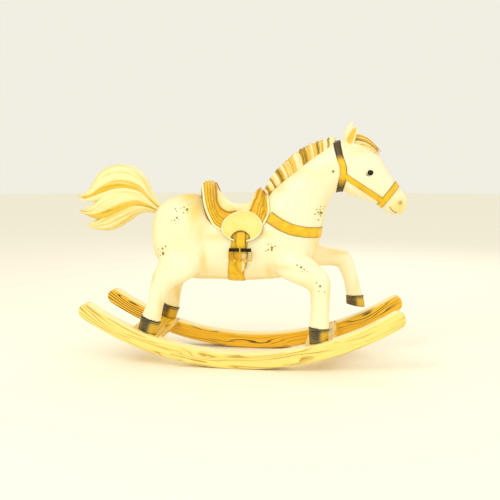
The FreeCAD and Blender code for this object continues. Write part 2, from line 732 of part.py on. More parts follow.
def arch(name, width, foot, top, middle_x):
    """Make a half-round arch along the horse, to shape a cantle or pommel."""
    rise = (top - foot) * mm("square_height")
    ring = oval_ring(name + "_ring", at(middle_x, foot), V(0, 0, 1), rise, mm(width) / 2)
    beam = doc.addObject("Part::Extrusion", name)
    beam.Base = ring
    beam.DirMode = "Custom"
    beam.Dir = V(1, 0, 0)
    beam.Solid = True
    beam.Symmetric = True
    bind(beam, LengthFwd="20 * Sizes.square_length")
    return beam


seat_plate = side_plate("seat_plate", SEAT, cell("seat_width"))
piece(cut("seat_cut", seat_plate, trunk_under_skirt), "seat_cushion")
cantle_plate = side_plate("cantle_plate", CANTLE, WIDE)
cantle_arch = arch("cantle_arch", "cantle_width", 49.6, 59.2, -9.0)
cantle_form = keep("cantle_form", cantle_plate, cantle_arch)
piece(cut("cantle_cut", cantle_form, trunk_under_skirt), "cantle")
pommel_plate = side_plate("pommel_plate", POMMEL, WIDE)
pommel_arch = arch("pommel_arch", "pommel_width", 48.6, 57.2, 8.0)
pommel_form = keep("pommel_form", pommel_plate, pommel_arch)
HINGE = (3.5, 48.65)
hinge_middle = at(*HINGE)
hinge_y = trunk_half_width(hinge_middle.x, hinge_middle.z, (FLAP_UNDER + FLAP_TOP) / 2)
hinge_channels = []
for side_name, side_sign in SIDES:
    channel_start = hinge_middle + V(-mm("flap_length") / 2, side_sign * hinge_y, 0)
    hinge_channels.append(rod(side_name + "_hinge_channel", cell("hinge_channel"),
                              cell("flap_length"), channel_start, V(1, 0, 0)))
piece(cut_all("pommel_cut", pommel_form, [trunk_under_skirt, neck_form] + hinge_channels),
      "pommel")

WELT_ROOF = 47.8
welt_plate = side_plate("welt_plate", skirt_runs(0.0, SADDLE_ROOF), WIDE)
inner_plate = side_plate("welt_inner_plate",
                         skirt_runs(mm("welt_width") / mm("square_length"), SADDLE_ROOF), WIDE)
below_roof = block("below_welt_roof", "60 * Sizes.square_length", "40 * Sizes.square_width",
                   "%.3f * Sizes.square_height" % WELT_ROOF,
                   FreeCAD.Placement(at(-30, 0, -20), LEVEL))
welt_band = cut("welt_band", welt_plate, inner_plate)
welt_low = keep("welt_low", welt_band, below_roof)
welt_shell = keep("welt_shell", welt_low, trunk_under_welt)

# ---------------------------------------------------------------- straps
GIRTH = [
    [(0.7, 38.4), (0.5, 35.0), (-0.7, 28.3), (-1.2, 24.0)],
    [(-1.2, 24.0), (3.4, 24.0)],
    [(3.4, 24.0), (3.3, 28.3), (5.0, 35.0), (5.2, 38.4)],
    [(5.2, 38.4), (0.7, 38.4)],
]
girth_plate = side_plate("girth_plate", GIRTH, WIDE)
girth_shell = keep("girth_shell", girth_plate, trunk_strap)
piece(cut("girth_cut", girth_shell, trunk_form), "girth_strap")

BREAST = [
    [(11.7, 46.2), (15.2, 43.8), (19.3, 42.2), (24.2, 41.3), (27.4, 41.0), (30.6, 41.0)],
    [(30.6, 41.0), (30.6, 44.6)],
    [(30.6, 44.6), (28.8, 44.6), (24.6, 44.5), (20.1, 45.7), (16.0, 47.5), (12.3, 49.7)],
    [(12.3, 49.7), (11.7, 46.2)],
]
breast_plate = side_plate("breast_plate", BREAST, WIDE)
breast_shell = keep("breast_shell", breast_plate, neck_strap)
piece(cut("breast_cut", breast_shell, neck_form), "breast_strap")


def strip(route, width):
    """Return the side outline of a straight-edged strap along a route of pattern points."""
    half = width / 2
    left = []
    right = []
    for index, point in enumerate(route):
        before = route[max(index - 1, 0)]
        after = route[min(index + 1, len(route) - 1)]
        run, rise = after[0] - before[0], after[1] - before[1]
        reach = math.hypot(run, rise)
        left.append((point[0] - rise / reach * half, point[1] + run / reach * half))
        right.append((point[0] + rise / reach * half, point[1] - run / reach * half))
    right.reverse()
    return [left, [left[-1], right[0]], right, [right[-1], left[0]]]


CROWN = [(33.2, 77.0), (33.2, 71.6), (34.0, 68.2), (35.0, 65.0), (35.3, 61.7), (34.8, 58.6),
         (33.8, 54.0)]
CHEEK = [(36.4, 61.1), (47.6, 53.2)]
NOSE = [(53.6, 59.8), (46.6, 50.8)]
strap_squares = mm("strap_width") / mm("square_length")
crown_plate = side_plate("crown_plate", strip(CROWN, strap_squares), WIDE)
crown_shell = keep("crown_shell", crown_plate, head_strap)
piece(cut("crown_cut", crown_shell, head_form), "crown_strap")
nose_plate = side_plate("nose_plate", strip(NOSE, strap_squares), WIDE)
nose_shell = keep("nose_shell", nose_plate, head_strap)
piece(cut("nose_cut", nose_shell, head_form), "noseband")
cheek_plate = side_plate("cheek_plate", strip(CHEEK, strap_squares), WIDE)
cheek_between = cut_all("cheek_between", cheek_plate, [crown_plate, nose_plate])
cheek_shell = keep("cheek_shell", cheek_between, head_strap)
cheek_ring = cut("cheek_ring", cheek_shell, head_form)
for side_name, side_sign in SIDES:
    corner_y = -outer_y if side_sign < 0 else 0.0
    half_space = block(side_name + "_cheek_side", "60 * Sizes.square_length",
                       "13 * Sizes.square_width", "90 * Sizes.square_height",
                       FreeCAD.Placement(V(0, corner_y, 0), LEVEL))
    piece(keep(side_name + "_cheek_cut", cheek_ring, half_space), side_name + "_cheek_strap")

# ---------------------------------------------------------------- billets, flaps, buckles
BUCKLE = (3.2, 37.4)
FLAP_MIDDLE = (3.5, 44.3)
SLOT_RADIUS = 1.6
BILLET_TOP_Z = 47.6
BILLET_TIP_Z = 30.4
half_billet = mm("billet_width") / 2 / mm("square_length")
BILLET = [
    [(BUCKLE[0] - half_billet, BILLET_TOP_Z), (BUCKLE[0] - half_billet, 33.0)],
    [(BUCKLE[0] - half_billet, 33.0), (BUCKLE[0] - half_billet * 0.6, 31.2),
     (BUCKLE[0], BILLET_TIP_Z), (BUCKLE[0] + half_billet * 0.6, 31.2),
     (BUCKLE[0] + half_billet, 33.0)],
    [(BUCKLE[0] + half_billet, 33.0), (BUCKLE[0] + half_billet, BILLET_TOP_Z)],
    [(BUCKLE[0] + half_billet, BILLET_TOP_Z), (BUCKLE[0] - half_billet, BILLET_TOP_Z)],
]
billet_plate = side_plate("billet_plate", BILLET, WIDE)
billet_shell = keep("billet_shell", billet_plate, trunk_billet)
billet_ring = cut_all("billet_ring", billet_shell, [trunk_under_skirt])
# the welt stops each side of the billets, which lie flat on the skirt
piece(cut_all("welt_cut", welt_shell, [trunk_under_skirt, above_joint, billet_plate]),
      "saddle_welt")

flap_ring = doc.addObject("Part::Ellipse", "flap_ring")
bind(flap_ring, MajorRadius="Sizes.flap_length / 2", MinorRadius="Sizes.flap_drop / 2")
flap_ring.Placement = FreeCAD.Placement(
    at(*FLAP_MIDDLE), FreeCAD.Rotation(V(1, 0, 0), V(0, 0, 1), V(0, -1, 0), "XYZ"))
flap_beam = doc.addObject("Part::Extrusion", "flap_beam")
flap_beam.Base = flap_ring
flap_beam.DirMode = "Custom"
flap_beam.Dir = V(0, 1, 0)
flap_beam.Solid = True
flap_beam.Symmetric = True
bind(flap_beam, LengthFwd=WIDE)
slot_low = at(BUCKLE[0], FLAP_MIDDLE[1]) - V(0, outer_y * 1.5, mm("flap_drop") / 2)
flap_slot = rod("flap_slot", "%.3f * Sizes.square_length" % (2 * SLOT_RADIUS), WIDE, slot_low,
                V(0, 1, 0))
flap_form = cut("flap_form", flap_beam, flap_slot)
flap_shell = keep("flap_shell", flap_form, trunk_flap_top)
flap_pair = cut("flap_pair", flap_shell, trunk_flap_under)

lugs = []
for side_name, side_sign in SIDES:
    corner_y = -outer_y * 1.5 if side_sign < 0 else 0.0
    half_space = block(side_name + "_flank", "40 * Sizes.square_length",
                       "19.5 * Sizes.square_width", "60 * Sizes.square_height",
                       FreeCAD.Placement(V(-20.0 * mm("square_length"), corner_y, 0), LEVEL))
    piece(keep(side_name + "_flap_cut", flap_pair, half_space), side_name + "_flap")
    piece(keep(side_name + "_billet_cut", billet_ring, half_space), side_name + "_billet")

    # buckle: a wire frame round the billet, a split roller on its top bar, and a prong
    wire = mm("buckle_wire")
    roller = mm("roller_diameter")
    base = at(*BUCKLE)
    stand_off = level("skirt_thickness", "strap_thickness", "buckle_gap") + roller / 2
    depth_at_roller = trunk_half_width(base.x, base.z, stand_off)
    top_bar = V(base.x, side_sign * depth_at_roller, base.z)
    low_z = base.z - mm("buckle_height")
    low_bar = V(base.x, side_sign * (trunk_half_width(base.x, low_z, stand_off)), low_z)
    side_run = top_bar - low_bar
    half_bar = mm("buckle_width") / 2 - wire / 2
    bars = []
    for bar_name, middle in (("top", top_bar), ("low", low_bar)):
        bars.append(rod("%s_%s_bar" % (side_name, bar_name), cell("buckle_wire"),
                        "Sizes.buckle_width - Sizes.buckle_wire",
                        middle - V(half_bar, 0, 0), V(1, 0, 0)))
    for end_name, end in (("rear", -1), ("front", 1)):
        start = low_bar + V(end * half_bar, 0, 0)
        bars.append(rod("%s_%s_side" % (side_name, end_name), cell("buckle_wire"),
                        "%.6f" % side_run.Length, start, side_run))
        for ball_name, ball_at in (("low", start), ("top", start + side_run)):
            ball = doc.addObject("Part::Sphere",
                                 "%s_%s_%s_corner" % (side_name, end_name, ball_name))
            bind(ball, Radius="Sizes.buckle_wire / 2")
            ball.Placement = FreeCAD.Placement(ball_at, LEVEL)
            bars.append(ball)
    frame = piece(join(side_name + "_buckle_wire", bars), side_name + "_buckle_frame")

    # two leather lugs fold round the low bar, one each side of the billet
    girth_y = trunk_half_width(base.x, low_z, 0) - mm("strap_thickness")
    bar_y = abs(low_bar.y) + wire
    for end_name, end in (("rear", -1), ("front", 1)):
        near = mm("billet_width") / 2 + mm("lug_gap")
        corner_x = base.x + (near if end > 0 else -near - mm("lug_width"))
        corner_side = girth_y if side_sign > 0 else -bar_y
        lug = block("%s_%s_lug" % (side_name, end_name), cell("lug_width"),
                    "%.6f" % (bar_y - girth_y), "2 * Sizes.buckle_wire",
                    FreeCAD.Placement(V(corner_x, corner_side, low_z - wire), LEVEL))
        lugs.append(cut_all("%s_%s_lug_cut" % (side_name, end_name), lug,
                            [trunk_strap, frame]))

    prong_gap = mm("prong_slot")
    halves = []
    half_length = (mm("buckle_width") - 2 * wire - prong_gap) / 2 - mm("roller_end_gap")
    for end_name, end in (("rear", -1), ("front", 1)):
        inner = top_bar + V(end * prong_gap / 2, 0, 0)
        tube = rod("%s_%s_roller_tube" % (side_name, end_name), cell("roller_diameter"),
                   "%.6f" % half_length, inner, V(end, 0, 0))
        bore = rod("%s_%s_roller_bore" % (side_name, end_name),
                   "Sizes.buckle_wire + 2 * Sizes.roller_clearance",
                   "%.6f" % (half_length + 1), inner - V(end * 0.5, 0, 0), V(end, 0, 0))
        halves.append(cut("%s_%s_roller_half" % (side_name, end_name), tube, bore))
    piece(group(side_name + "_roller_pair", halves), side_name + "_buckle_roller")

    eye_outer = wire / 2 + mm("prong_clearance") + mm("prong_wall")
    ring = rod(side_name + "_prong_ring", "%.6f" % (2 * eye_outer), cell("prong_wire"),
               low_bar - V(mm("prong_wire") / 2, 0, 0), V(1, 0, 0))
    ring_bore = rod(side_name + "_prong_bore", "Sizes.buckle_wire + 2 * Sizes.prong_clearance",
                    "2 * Sizes.prong_wire", low_bar - V(mm("prong_wire"), 0, 0), V(1, 0, 0))
    outward = side_run.cross(V(side_sign, 0, 0))
    outward.normalize()
    lift = wire / 2 + mm("prong_clearance") + mm("prong_wire") / 2
    shaft_start = low_bar + outward * lift
    shaft = rod(side_name + "_prong_shaft", cell("prong_wire"),
                "%.6f" % (side_run.Length + roller), shaft_start, side_run)
    prong_body = join(side_name + "_prong_body", [ring, shaft])
    piece(cut(side_name + "_prong_cut", prong_body, ring_bore), side_name + "_buckle_prong")

piece(group("buckle_lugs", lugs), "buckle_lugs")

# ---------------------------------------------------------------- check and write
doc.recompute()
failed = [obj.Name for obj in doc.Objects if "Invalid" in obj.State or "Error" in obj.State]
if failed:
    raise RuntimeError("objects that did not recompute: %s" % failed)
for label, obj in finished:
    if obj.Shape.isNull() or not obj.Shape.isValid() or not obj.Shape.Solids:
        raise RuntimeError("%s has no valid solid" % label)
for label, obj in finished:
    obj.Shape.exportStep("parts/%s.step" % label)
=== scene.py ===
"""Looks of a carved rocking horse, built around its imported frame.

Everything is in metres in the frame's own axes: the horse faces +X, +Z is up and Y = 0 is
its middle plane. Tables that come from the carver's squared pattern are in squares.
"""

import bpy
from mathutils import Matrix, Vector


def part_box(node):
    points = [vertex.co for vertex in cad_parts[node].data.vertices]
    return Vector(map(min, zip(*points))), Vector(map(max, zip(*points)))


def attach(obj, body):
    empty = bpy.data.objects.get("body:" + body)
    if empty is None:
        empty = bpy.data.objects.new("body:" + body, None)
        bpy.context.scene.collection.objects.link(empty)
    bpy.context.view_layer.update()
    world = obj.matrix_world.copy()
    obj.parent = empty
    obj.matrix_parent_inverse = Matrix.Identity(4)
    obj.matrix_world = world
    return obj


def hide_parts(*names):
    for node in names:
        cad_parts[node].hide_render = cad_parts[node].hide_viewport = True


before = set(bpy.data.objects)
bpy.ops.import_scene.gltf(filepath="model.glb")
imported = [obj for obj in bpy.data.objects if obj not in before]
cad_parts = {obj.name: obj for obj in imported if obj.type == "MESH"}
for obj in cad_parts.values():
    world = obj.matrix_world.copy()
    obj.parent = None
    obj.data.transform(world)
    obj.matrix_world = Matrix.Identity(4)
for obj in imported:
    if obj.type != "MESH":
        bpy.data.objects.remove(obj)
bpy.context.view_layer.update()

import logging
import math
import random
from dataclasses import dataclass, field
from enum import Enum
from typing import Callable, Optional, Sequence

import bmesh
import bpy
import numpy as np
from mathutils import Vector
from mathutils.bvhtree import BVHTree
from mathutils.geometry import delaunay_2d_cdt

LOG = logging.getLogger("rocking_horse")
SQUARE = 0.010
MM = 0.001

Section = tuple[tuple[float, float], tuple[float, float], float, float]
Point2 = tuple[float, float]


class Side(Enum):
    """The two sides of the horse, by the sign of Y."""

    RIGHT = -1
    LEFT = 1

    @property
    def word(self) -> str:
        """The side's name as the frame spells it."""
        return self.name.lower()


# ------------------------------------------------------------------ mesh helpers
def tint(red: int, green: int, blue: int) -> tuple[float, float, float, float]:
    """Turn a paint chart colour into the shader's linear colour.

    Args:
        red: Red from 0 to 255.
        green: Green from 0 to 255.
        blue: Blue from 0 to 255.

    Returns:
        Linear red, green, blue and full cover.
    """
    parts = [c / 255 for c in (red, green, blue)]
    linear = [c / 12.92 if c <= 0.04045 else ((c + 0.055) / 1.055) ** 2.4 for c in parts]
    return (linear[0], linear[1], linear[2], 1.0)


def smooth_line(points: Sequence[Sequence[float]], count: int, closed: bool = False) -> np.ndarray:
    """Draw an even, smooth line through points.

    Args:
        points: Points to pass through, of any dimension.
        count: Number of points to return.
        closed: Whether the line comes back to its first point.

    Returns:
        An array of count points, evenly spaced along the line.
    """
    p = np.asarray(points, float)
    if closed:
        p = np.vstack([p[-1], p, p[0], p[1]])
    else:
        p = np.vstack([2 * p[0] - p[1], p, 2 * p[-1] - p[-2]])
    t = np.linspace(0, 1, 24, endpoint=False)[:, None]
    dense = []
    for a, b, c, d in zip(p, p[1:], p[2:], p[3:]):
        dense.append(0.5 * (2 * b + (c - a) * t + (2 * a - 5 * b + 4 * c - d) * t ** 2
                            + (3 * b - a - 3 * c + d) * t ** 3))
    line = np.vstack(dense + [p[-2][None]])
    run = np.concatenate([[0], np.cumsum(np.linalg.norm(np.diff(line, axis=0), axis=1))])
    stops = np.linspace(0, run[-1], count, endpoint=not closed)
    return np.stack([np.interp(stops, run, line[:, k]) for k in range(line.shape[1])], 1)


def full_turn(count: int) -> np.ndarray:
    """Angles of evenly spaced points round a circle."""
    return np.linspace(0, 2 * math.pi, count, endpoint=False)


def bell(distance: np.ndarray, radius: float) -> np.ndarray:
    """Soft round falloff, 1 at the middle and near 0 at twice the radius."""
    return np.exp(-((distance / radius) ** 2))


def new_mesh(name: str, verts: np.ndarray, faces: Sequence[Sequence[int]],
             smooth: bool = True) -> bpy.types.Object:
    """Make a mesh object in the scene.

    Args:
        name: Name of the piece.
        verts: Points in metres.
        faces: Corner numbers of each face.
        smooth: Whether the faces are shaded smooth.

    Returns:
        The new object.
    """
    mesh = bpy.data.meshes.new(name)
    mesh.from_pydata([tuple(map(float, v)) for v in verts], [],
                     [tuple(map(int, f)) for f in faces])
    mesh.validate()
    mesh.polygons.foreach_set("use_smooth", [smooth] * len(mesh.polygons))
    mesh.update()
    obj = bpy.data.objects.new(name, mesh)
    bpy.context.scene.collection.objects.link(obj)
    return obj


def note(obj: bpy.types.Object, name: str, values: np.ndarray) -> None:
    """Store one number or vector per point for the finishes to read.

    Args:
        obj: The mesh object.
        name: Name of the attribute.
        values: One value, or one row of three, for each point.
    """
    values = np.asarray(values, np.float32)
    kind = "FLOAT" if values.ndim == 1 else "FLOAT_VECTOR"
    layer = obj.data.attributes.new(name, kind, "POINT")
    layer.data.foreach_set("value" if kind == "FLOAT" else "vector", values.ravel())


def points_of(obj: bpy.types.Object) -> np.ndarray:
    """All points of a mesh as an array."""
    co = np.empty(len(obj.data.vertices) * 3)
    obj.data.vertices.foreach_get("co", co)
    return co.reshape(-1, 3)


def normals_of(obj: bpy.types.Object) -> np.ndarray:
    """All point normals of a mesh as an array."""
    normals = np.empty(len(obj.data.vertices) * 3)
    obj.data.vertex_normals.foreach_get("vector", normals)
    return normals.reshape(-1, 3)


def set_points(obj: bpy.types.Object, co: np.ndarray) -> None:
    """Move all points of a mesh."""
    obj.data.vertices.foreach_set("co", co.ravel())
    obj.data.update()


def strip_faces(rows: int, cols: int, wrap_cols: bool = False, wrap_rows: bool = False,
                first: int = 0) -> list[tuple[int, int, int, int]]:
    """List the faces of a grid of points.

    Args:
        rows: Number of rows.
        cols: Points in each row.
        wrap_cols: Whether each row closes on itself.
        wrap_rows: Whether the last row joins the first.
        first: Number of the grid's first point.

    Returns:
        Four corners for each face.
    """
    faces = []
    for r in range(rows if wrap_rows else rows - 1):
        for c in range(cols if wrap_cols else cols - 1):
            a, b = r * cols + c, r * cols + (c + 1) % cols
            d, e = ((r + 1) % rows) * cols + c, ((r + 1) % rows) * cols + (c + 1) % cols
            faces.append((first + a, first + b, first + e, first + d))
    return faces


class Heap:
    """Collects several closed forms into one mesh, with their per-point notes."""

    def __init__(self) -> None:
        """Start with nothing in the heap."""
        self.verts: list[np.ndarray] = []
        self.faces: list[tuple[int, ...]] = []
        self.notes: dict[str, list[np.ndarray]] = {}
        self.count = 0

    def add(self, verts: np.ndarray, faces: Sequence[Sequence[int]], **notes: np.ndarray) -> None:
        """Add one form.

        Args:
            verts: Its points.
            faces: Its faces, counted from its own first point.
            **notes: Values for each of its points.
        """
        self.verts.append(verts)
        self.faces.extend(tuple(i + self.count for i in f) for f in faces)
        for key, values in notes.items():
            self.notes.setdefault(key, []).append(np.asarray(values, float))
        self.count += len(verts)

    def tube(self, rings: np.ndarray, **notes: np.ndarray) -> None:
        """Add a closed tube made of rings of points, with both ends filled.

        Args:
            rings: Rings by points by three.
            **notes: Values as rings by points, or rings by points by three.
        """
        rows, cols = rings.shape[:2]
        ends = np.stack([rings[0].mean(0), rings[-1].mean(0)])
        verts = np.vstack([rings.reshape(-1, 3), ends])
        faces: list[tuple[int, ...]] = list(strip_faces(rows, cols, wrap_cols=True))
        last = (rows - 1) * cols
        for c in range(cols):
            d = (c + 1) % cols
            faces.append((rows * cols, d, c))
            faces.append((rows * cols + 1, last + c, last + d))
        flat = {}
        for key, values in notes.items():
            v = np.asarray(values, float)
            own = v.reshape(rows * cols, *v.shape[2:])
            flat[key] = np.concatenate([own, v[0].mean(0)[None], v[-1].mean(0)[None]])
        self.add(verts, faces, **flat)

    def finish(self, name: str) -> bpy.types.Object:
        """Make one object of everything in the heap.

        Args:
            name: Name of the piece.

        Returns:
            The mesh object, with its outside facing out.
        """
        obj = new_mesh(name, np.vstack(self.verts), self.faces)
        for key, parts in self.notes.items():
            note(obj, key, np.concatenate(parts))
        face_out(obj)
        return obj


def face_out(obj: bpy.types.Object) -> None:
    """Turn all faces of a mesh outwards."""
    shape = bmesh.new()
    shape.from_mesh(obj.data)
    bmesh.ops.recalc_face_normals(shape, faces=shape.faces)
    shape.to_mesh(obj.data)
    shape.free()
    obj.data.update()


def apply_modifiers(obj: bpy.types.Object) -> None:
    """Turn an object's modifiers into its own mesh."""
    graph = bpy.context.evaluated_depsgraph_get()
    graph.update()
    made = bpy.data.meshes.new_from_object(obj.evaluated_get(graph), depsgraph=graph)
    obj.modifiers.clear()
    obj.data = made


def settle(obj: bpy.types.Object, slot: str, *nodes: str, body: str = "horse") -> None:
    """Let a piece ride on its body and stand for its nodes.

    Args:
        obj: The piece.
        slot: Its material slot; not used.
        *nodes: Frame nodes that it stands for, if any.
        body: The body that it rides on.
    """
    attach(obj, body)
    if nodes:
        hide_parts(*nodes)


def round_cord(path: np.ndarray, radius: float, around: int = 10,
               closed: bool = False) -> tuple[np.ndarray, list[tuple[int, ...]]]:
    """Make a round cord along a line.

    Args:
        path: Points of the line.
        radius: Radius of the cord.
        around: Points in each ring.
        closed: Whether the line is a loop.

    Returns:
        Points and faces of the cord.
    """
    count = len(path)
    ahead = np.roll(path, -1, 0) - np.roll(path, 1, 0)
    if not closed:
        ahead[0], ahead[-1] = path[1] - path[0], path[-1] - path[-2]
    ahead /= np.linalg.norm(ahead, axis=1, keepdims=True)
    side = np.cross(ahead[0], (0.31, 0.17, 0.93))
    sides = []
    for tangent in ahead:
        side = side - tangent * (side @ tangent)
        side = side / np.linalg.norm(side)
        sides.append(side)
    sides = np.array(sides)
    ups = np.cross(ahead, sides)
    turn = full_turn(around)
    rings = (path[:, None] + radius * (np.cos(turn)[None, :, None] * sides[:, None]
                                       + np.sin(turn)[None, :, None] * ups[:, None]))
    verts = rings.reshape(-1, 3)
    faces: list[tuple[int, ...]] = list(strip_faces(count, around, True, closed))
    if not closed:
        verts = np.vstack([verts, path[0][None], path[-1][None]])
        last = (count - 1) * around
        for c in range(around):
            d = (c + 1) % around
            faces.append((count * around, d, c))
            faces.append((count * around + 1, last + c, last + d))
    return verts, faces


# ------------------------------------------------------------------ shared shader groups
class Bench:
    """Builds shader nodes and the groups that several finishes share."""

    groups: dict[str, bpy.types.NodeTree] = {}

    @staticmethod
    def group(name: str, inputs: Sequence[tuple[str, str, object]],
              outputs: Sequence[tuple[str, str]]) -> tuple[bpy.types.NodeTree, object, object]:
        """Start a node group with named sockets.

        Args:
            name: Name of the group.
            inputs: Name, socket type and starting value of each input.
            outputs: Name and socket type of each output.

        Returns:
            The tree, its input node and its output node.
        """
        tree = bpy.data.node_groups.new(name, "ShaderNodeTree")
        for label, kind, value in inputs:
            socket = tree.interface.new_socket(label, in_out="INPUT", socket_type=kind)
            if value is not None:
                socket.default_value = value
        for label, kind in outputs:
            tree.interface.new_socket(label, in_out="OUTPUT", socket_type=kind)
        start = tree.nodes.new("NodeGroupInput")
        end = tree.nodes.new("NodeGroupOutput")
        Bench.groups[name] = tree
        return tree, start, end

    @staticmethod
    def node(tree: bpy.types.NodeTree, kind: str, **sockets: object) -> bpy.types.Node:
        """Add one node, set its settings and feed its inputs.

        Args:
            tree: The tree to add to.
            kind: Blender's node type.
            **sockets: Settings of the node, or inputs by name with _ for a space.

        Returns:
            The node.
        """
        node = tree.nodes.new(kind)
        for key, value in sockets.items():
            if key.startswith("i_"):
                label = key[2:]
                found = (node.inputs[int(label)] if label.isdigit()
                         else node.inputs[label.replace("_", " ")])
                if isinstance(value, bpy.types.NodeSocket):
                    tree.links.new(value, found)
                else:
                    found.default_value = value
            else:
                setattr(node, key, value)
        return node

    @staticmethod
    def math(tree: bpy.types.NodeTree, operation: str, a: object, b: object = 0.0) -> object:
        """Add one sum and return its result."""
        return Bench.node(tree, "ShaderNodeMath", operation=operation, i_0=a, i_1=b).outputs[0]

    @staticmethod
    def blend(tree: bpy.types.NodeTree, share: object, a: object, b: object) -> object:
        """Mix two colours and return the mix."""
        node = Bench.node(tree, "ShaderNodeMix", data_type="RGBA", i_0=share, i_6=a, i_7=b)
        return node.outputs[2]

    @staticmethod
    def ramp(tree: bpy.types.NodeTree, value: object, low: float, high: float) -> object:
        """Stretch a value between two levels to 0 and 1, smoothly."""
        node = Bench.node(tree, "ShaderNodeMapRange", interpolation_type="SMOOTHSTEP",
                          i_Value=value, i_From_Min=low, i_From_Max=high)
        return node.outputs[0]

    @staticmethod
    def use(tree: bpy.types.NodeTree, name: str, **inputs: object) -> bpy.types.Node:
        """Place one shared group in a material.

        Args:
            tree: The material's tree.
            name: Name of the group.
            **inputs: Its inputs by name, with _ for a space.

        Returns:
            The group node.
        """
        node = tree.nodes.new("ShaderNodeGroup")
        node.node_tree = Bench.groups[name]
        for label, value in inputs.items():
            socket = node.inputs[label.replace("_", " ")]
            if isinstance(value, bpy.types.NodeSocket):
                tree.links.new(value, socket)
            else:
                socket.default_value = value
        return node

    @staticmethod
    def build_all() -> None:
        """Build every shared group once."""
        Bench.build_wood_grain()
        Bench.build_brush_marks()
        Bench.build_hide_grain()
        Bench.build_hair_lines()
        Bench.build_handling()

    @staticmethod
    def build_wood_grain() -> None:
        """Wavy growth lines that run along the first axis of the given place."""
        tree, start, end = Bench.group(
            "Wood Grain",
            [("Place", "NodeSocketVector", None), ("Lines", "NodeSocketFloat", 60.0),
             ("Waviness", "NodeSocketFloat", 5.0), ("Pale", "NodeSocketColor", None),
             ("Gold", "NodeSocketColor", None), ("Dark", "NodeSocketColor", None),
             ("Dark Share", "NodeSocketFloat", 0.3)],
            [("Color", "NodeSocketColor"), ("Height", "NodeSocketFloat")])
        o = start.outputs
        long = Bench.node(tree, "ShaderNodeVectorMath", operation="MULTIPLY",
                          i_0=o["Place"], i_1=(0.12, 1.0, 1.0)).outputs[0]
        sway = Bench.node(tree, "ShaderNodeTexNoise", i_Vector=long, i_Scale=26.0,
                          i_Detail=1.5, i_Distortion=0.4).outputs[0]
        across = Bench.node(tree, "ShaderNodeSeparateXYZ", i_0=o["Place"]).outputs
        depth = Bench.math(tree, "ADD", across[1], Bench.math(tree, "MULTIPLY", across[2], 0.35))
        phase = Bench.math(tree, "ADD", Bench.math(tree, "MULTIPLY", depth, o["Lines"]),
                           Bench.math(tree, "MULTIPLY", sway, o["Waviness"]))
        rings = Bench.math(tree, "FRACT", phase)
        faint = Bench.node(tree, "ShaderNodeTexNoise", i_Vector=long, i_Scale=50.0).outputs[0]
        ring_line = Bench.math(tree, "MULTIPLY", Bench.ramp(tree, rings, 0.55, 0.97),
                               Bench.ramp(tree, faint, 0.38, 0.56))
        streak_place = Bench.node(tree, "ShaderNodeVectorMath", operation="MULTIPLY",
                                  i_0=o["Place"], i_1=(9.0, 420.0, 420.0)).outputs[0]
        streaks = Bench.node(tree, "ShaderNodeTexNoise", i_Vector=streak_place, i_Scale=1.0,
                             i_Detail=3.0).outputs[0]
        fine = Bench.ramp(tree, streaks, 0.45, 0.75)
        patches = Bench.node(tree, "ShaderNodeTexNoise", i_Vector=long, i_Scale=24.0,
                             i_Detail=2.0).outputs[0]
        dark_zone = Bench.math(tree, "MULTIPLY", Bench.ramp(tree, patches, 0.44, 0.56),
                               Bench.ramp(tree, rings, 0.55, 0.88))
        gold = Bench.blend(tree, Bench.math(tree, "MULTIPLY", ring_line, 0.85), o["Pale"],
                           o["Gold"])
        gold = Bench.blend(tree, Bench.math(tree, "MULTIPLY", fine, 0.35), gold, o["Gold"])
        share = Bench.math(tree, "MULTIPLY", dark_zone, o["Dark Share"])
        tree.links.new(Bench.blend(tree, share, gold, o["Dark"]), end.inputs["Color"])
        height = Bench.math(tree, "SUBTRACT", Bench.math(tree, "MULTIPLY", fine, -0.6),
                            Bench.math(tree, "MULTIPLY", ring_line, 0.5))
        tree.links.new(height, end.inputs["Height"])

    @staticmethod
    def build_brush_marks() -> None:
        """Hand brushed paint: long soft marks and slow drift between two colours."""
        tree, start, end = Bench.group(
            "Brush Marks",
            [("Place", "NodeSocketVector", None), ("Base", "NodeSocketColor", None),
             ("Warm", "NodeSocketColor", None), ("Warmth", "NodeSocketFloat", 0.0)],
            [("Color", "NodeSocketColor"), ("Height", "NodeSocketFloat")])
        o = start.outputs
        drift = Bench.node(tree, "ShaderNodeTexNoise", i_Vector=o["Place"], i_Scale=7.0,
                           i_Detail=3.0).outputs[0]
        slanted = Bench.node(tree, "ShaderNodeMapping", i_Vector=o["Place"],
                             i_Rotation=(0.2, 0.5, 0.3), i_Scale=(60.0, 240.0, 420.0)).outputs[0]
        marks = Bench.node(tree, "ShaderNodeTexNoise", i_Vector=slanted, i_Scale=1.0,
                           i_Detail=4.0).outputs[0]
        wash = Bench.math(tree, "MULTIPLY", Bench.ramp(tree, drift, 0.42, 0.72), 0.16)
        mark_share = Bench.math(tree, "MULTIPLY", Bench.ramp(tree, marks, 0.5, 0.8), 0.10)
        # Warmth pushes the paint towards the warm colour; on the carving it carries painted shade
        edge = Bench.math(tree, "ADD", o["Warmth"], Bench.math(
            tree, "MULTIPLY", Bench.math(tree, "SUBTRACT", marks, 0.5),
            Bench.math(tree, "MULTIPLY", o["Warmth"], 0.5)))
        share = Bench.math(tree, "ADD", Bench.math(tree, "ADD", wash, mark_share), edge)
        clamped = Bench.node(tree, "ShaderNodeClamp", i_Value=share).outputs[0]
        tree.links.new(Bench.blend(tree, clamped, o["Base"], o["Warm"]), end.inputs["Color"])
        tree.links.new(marks, end.inputs["Height"])

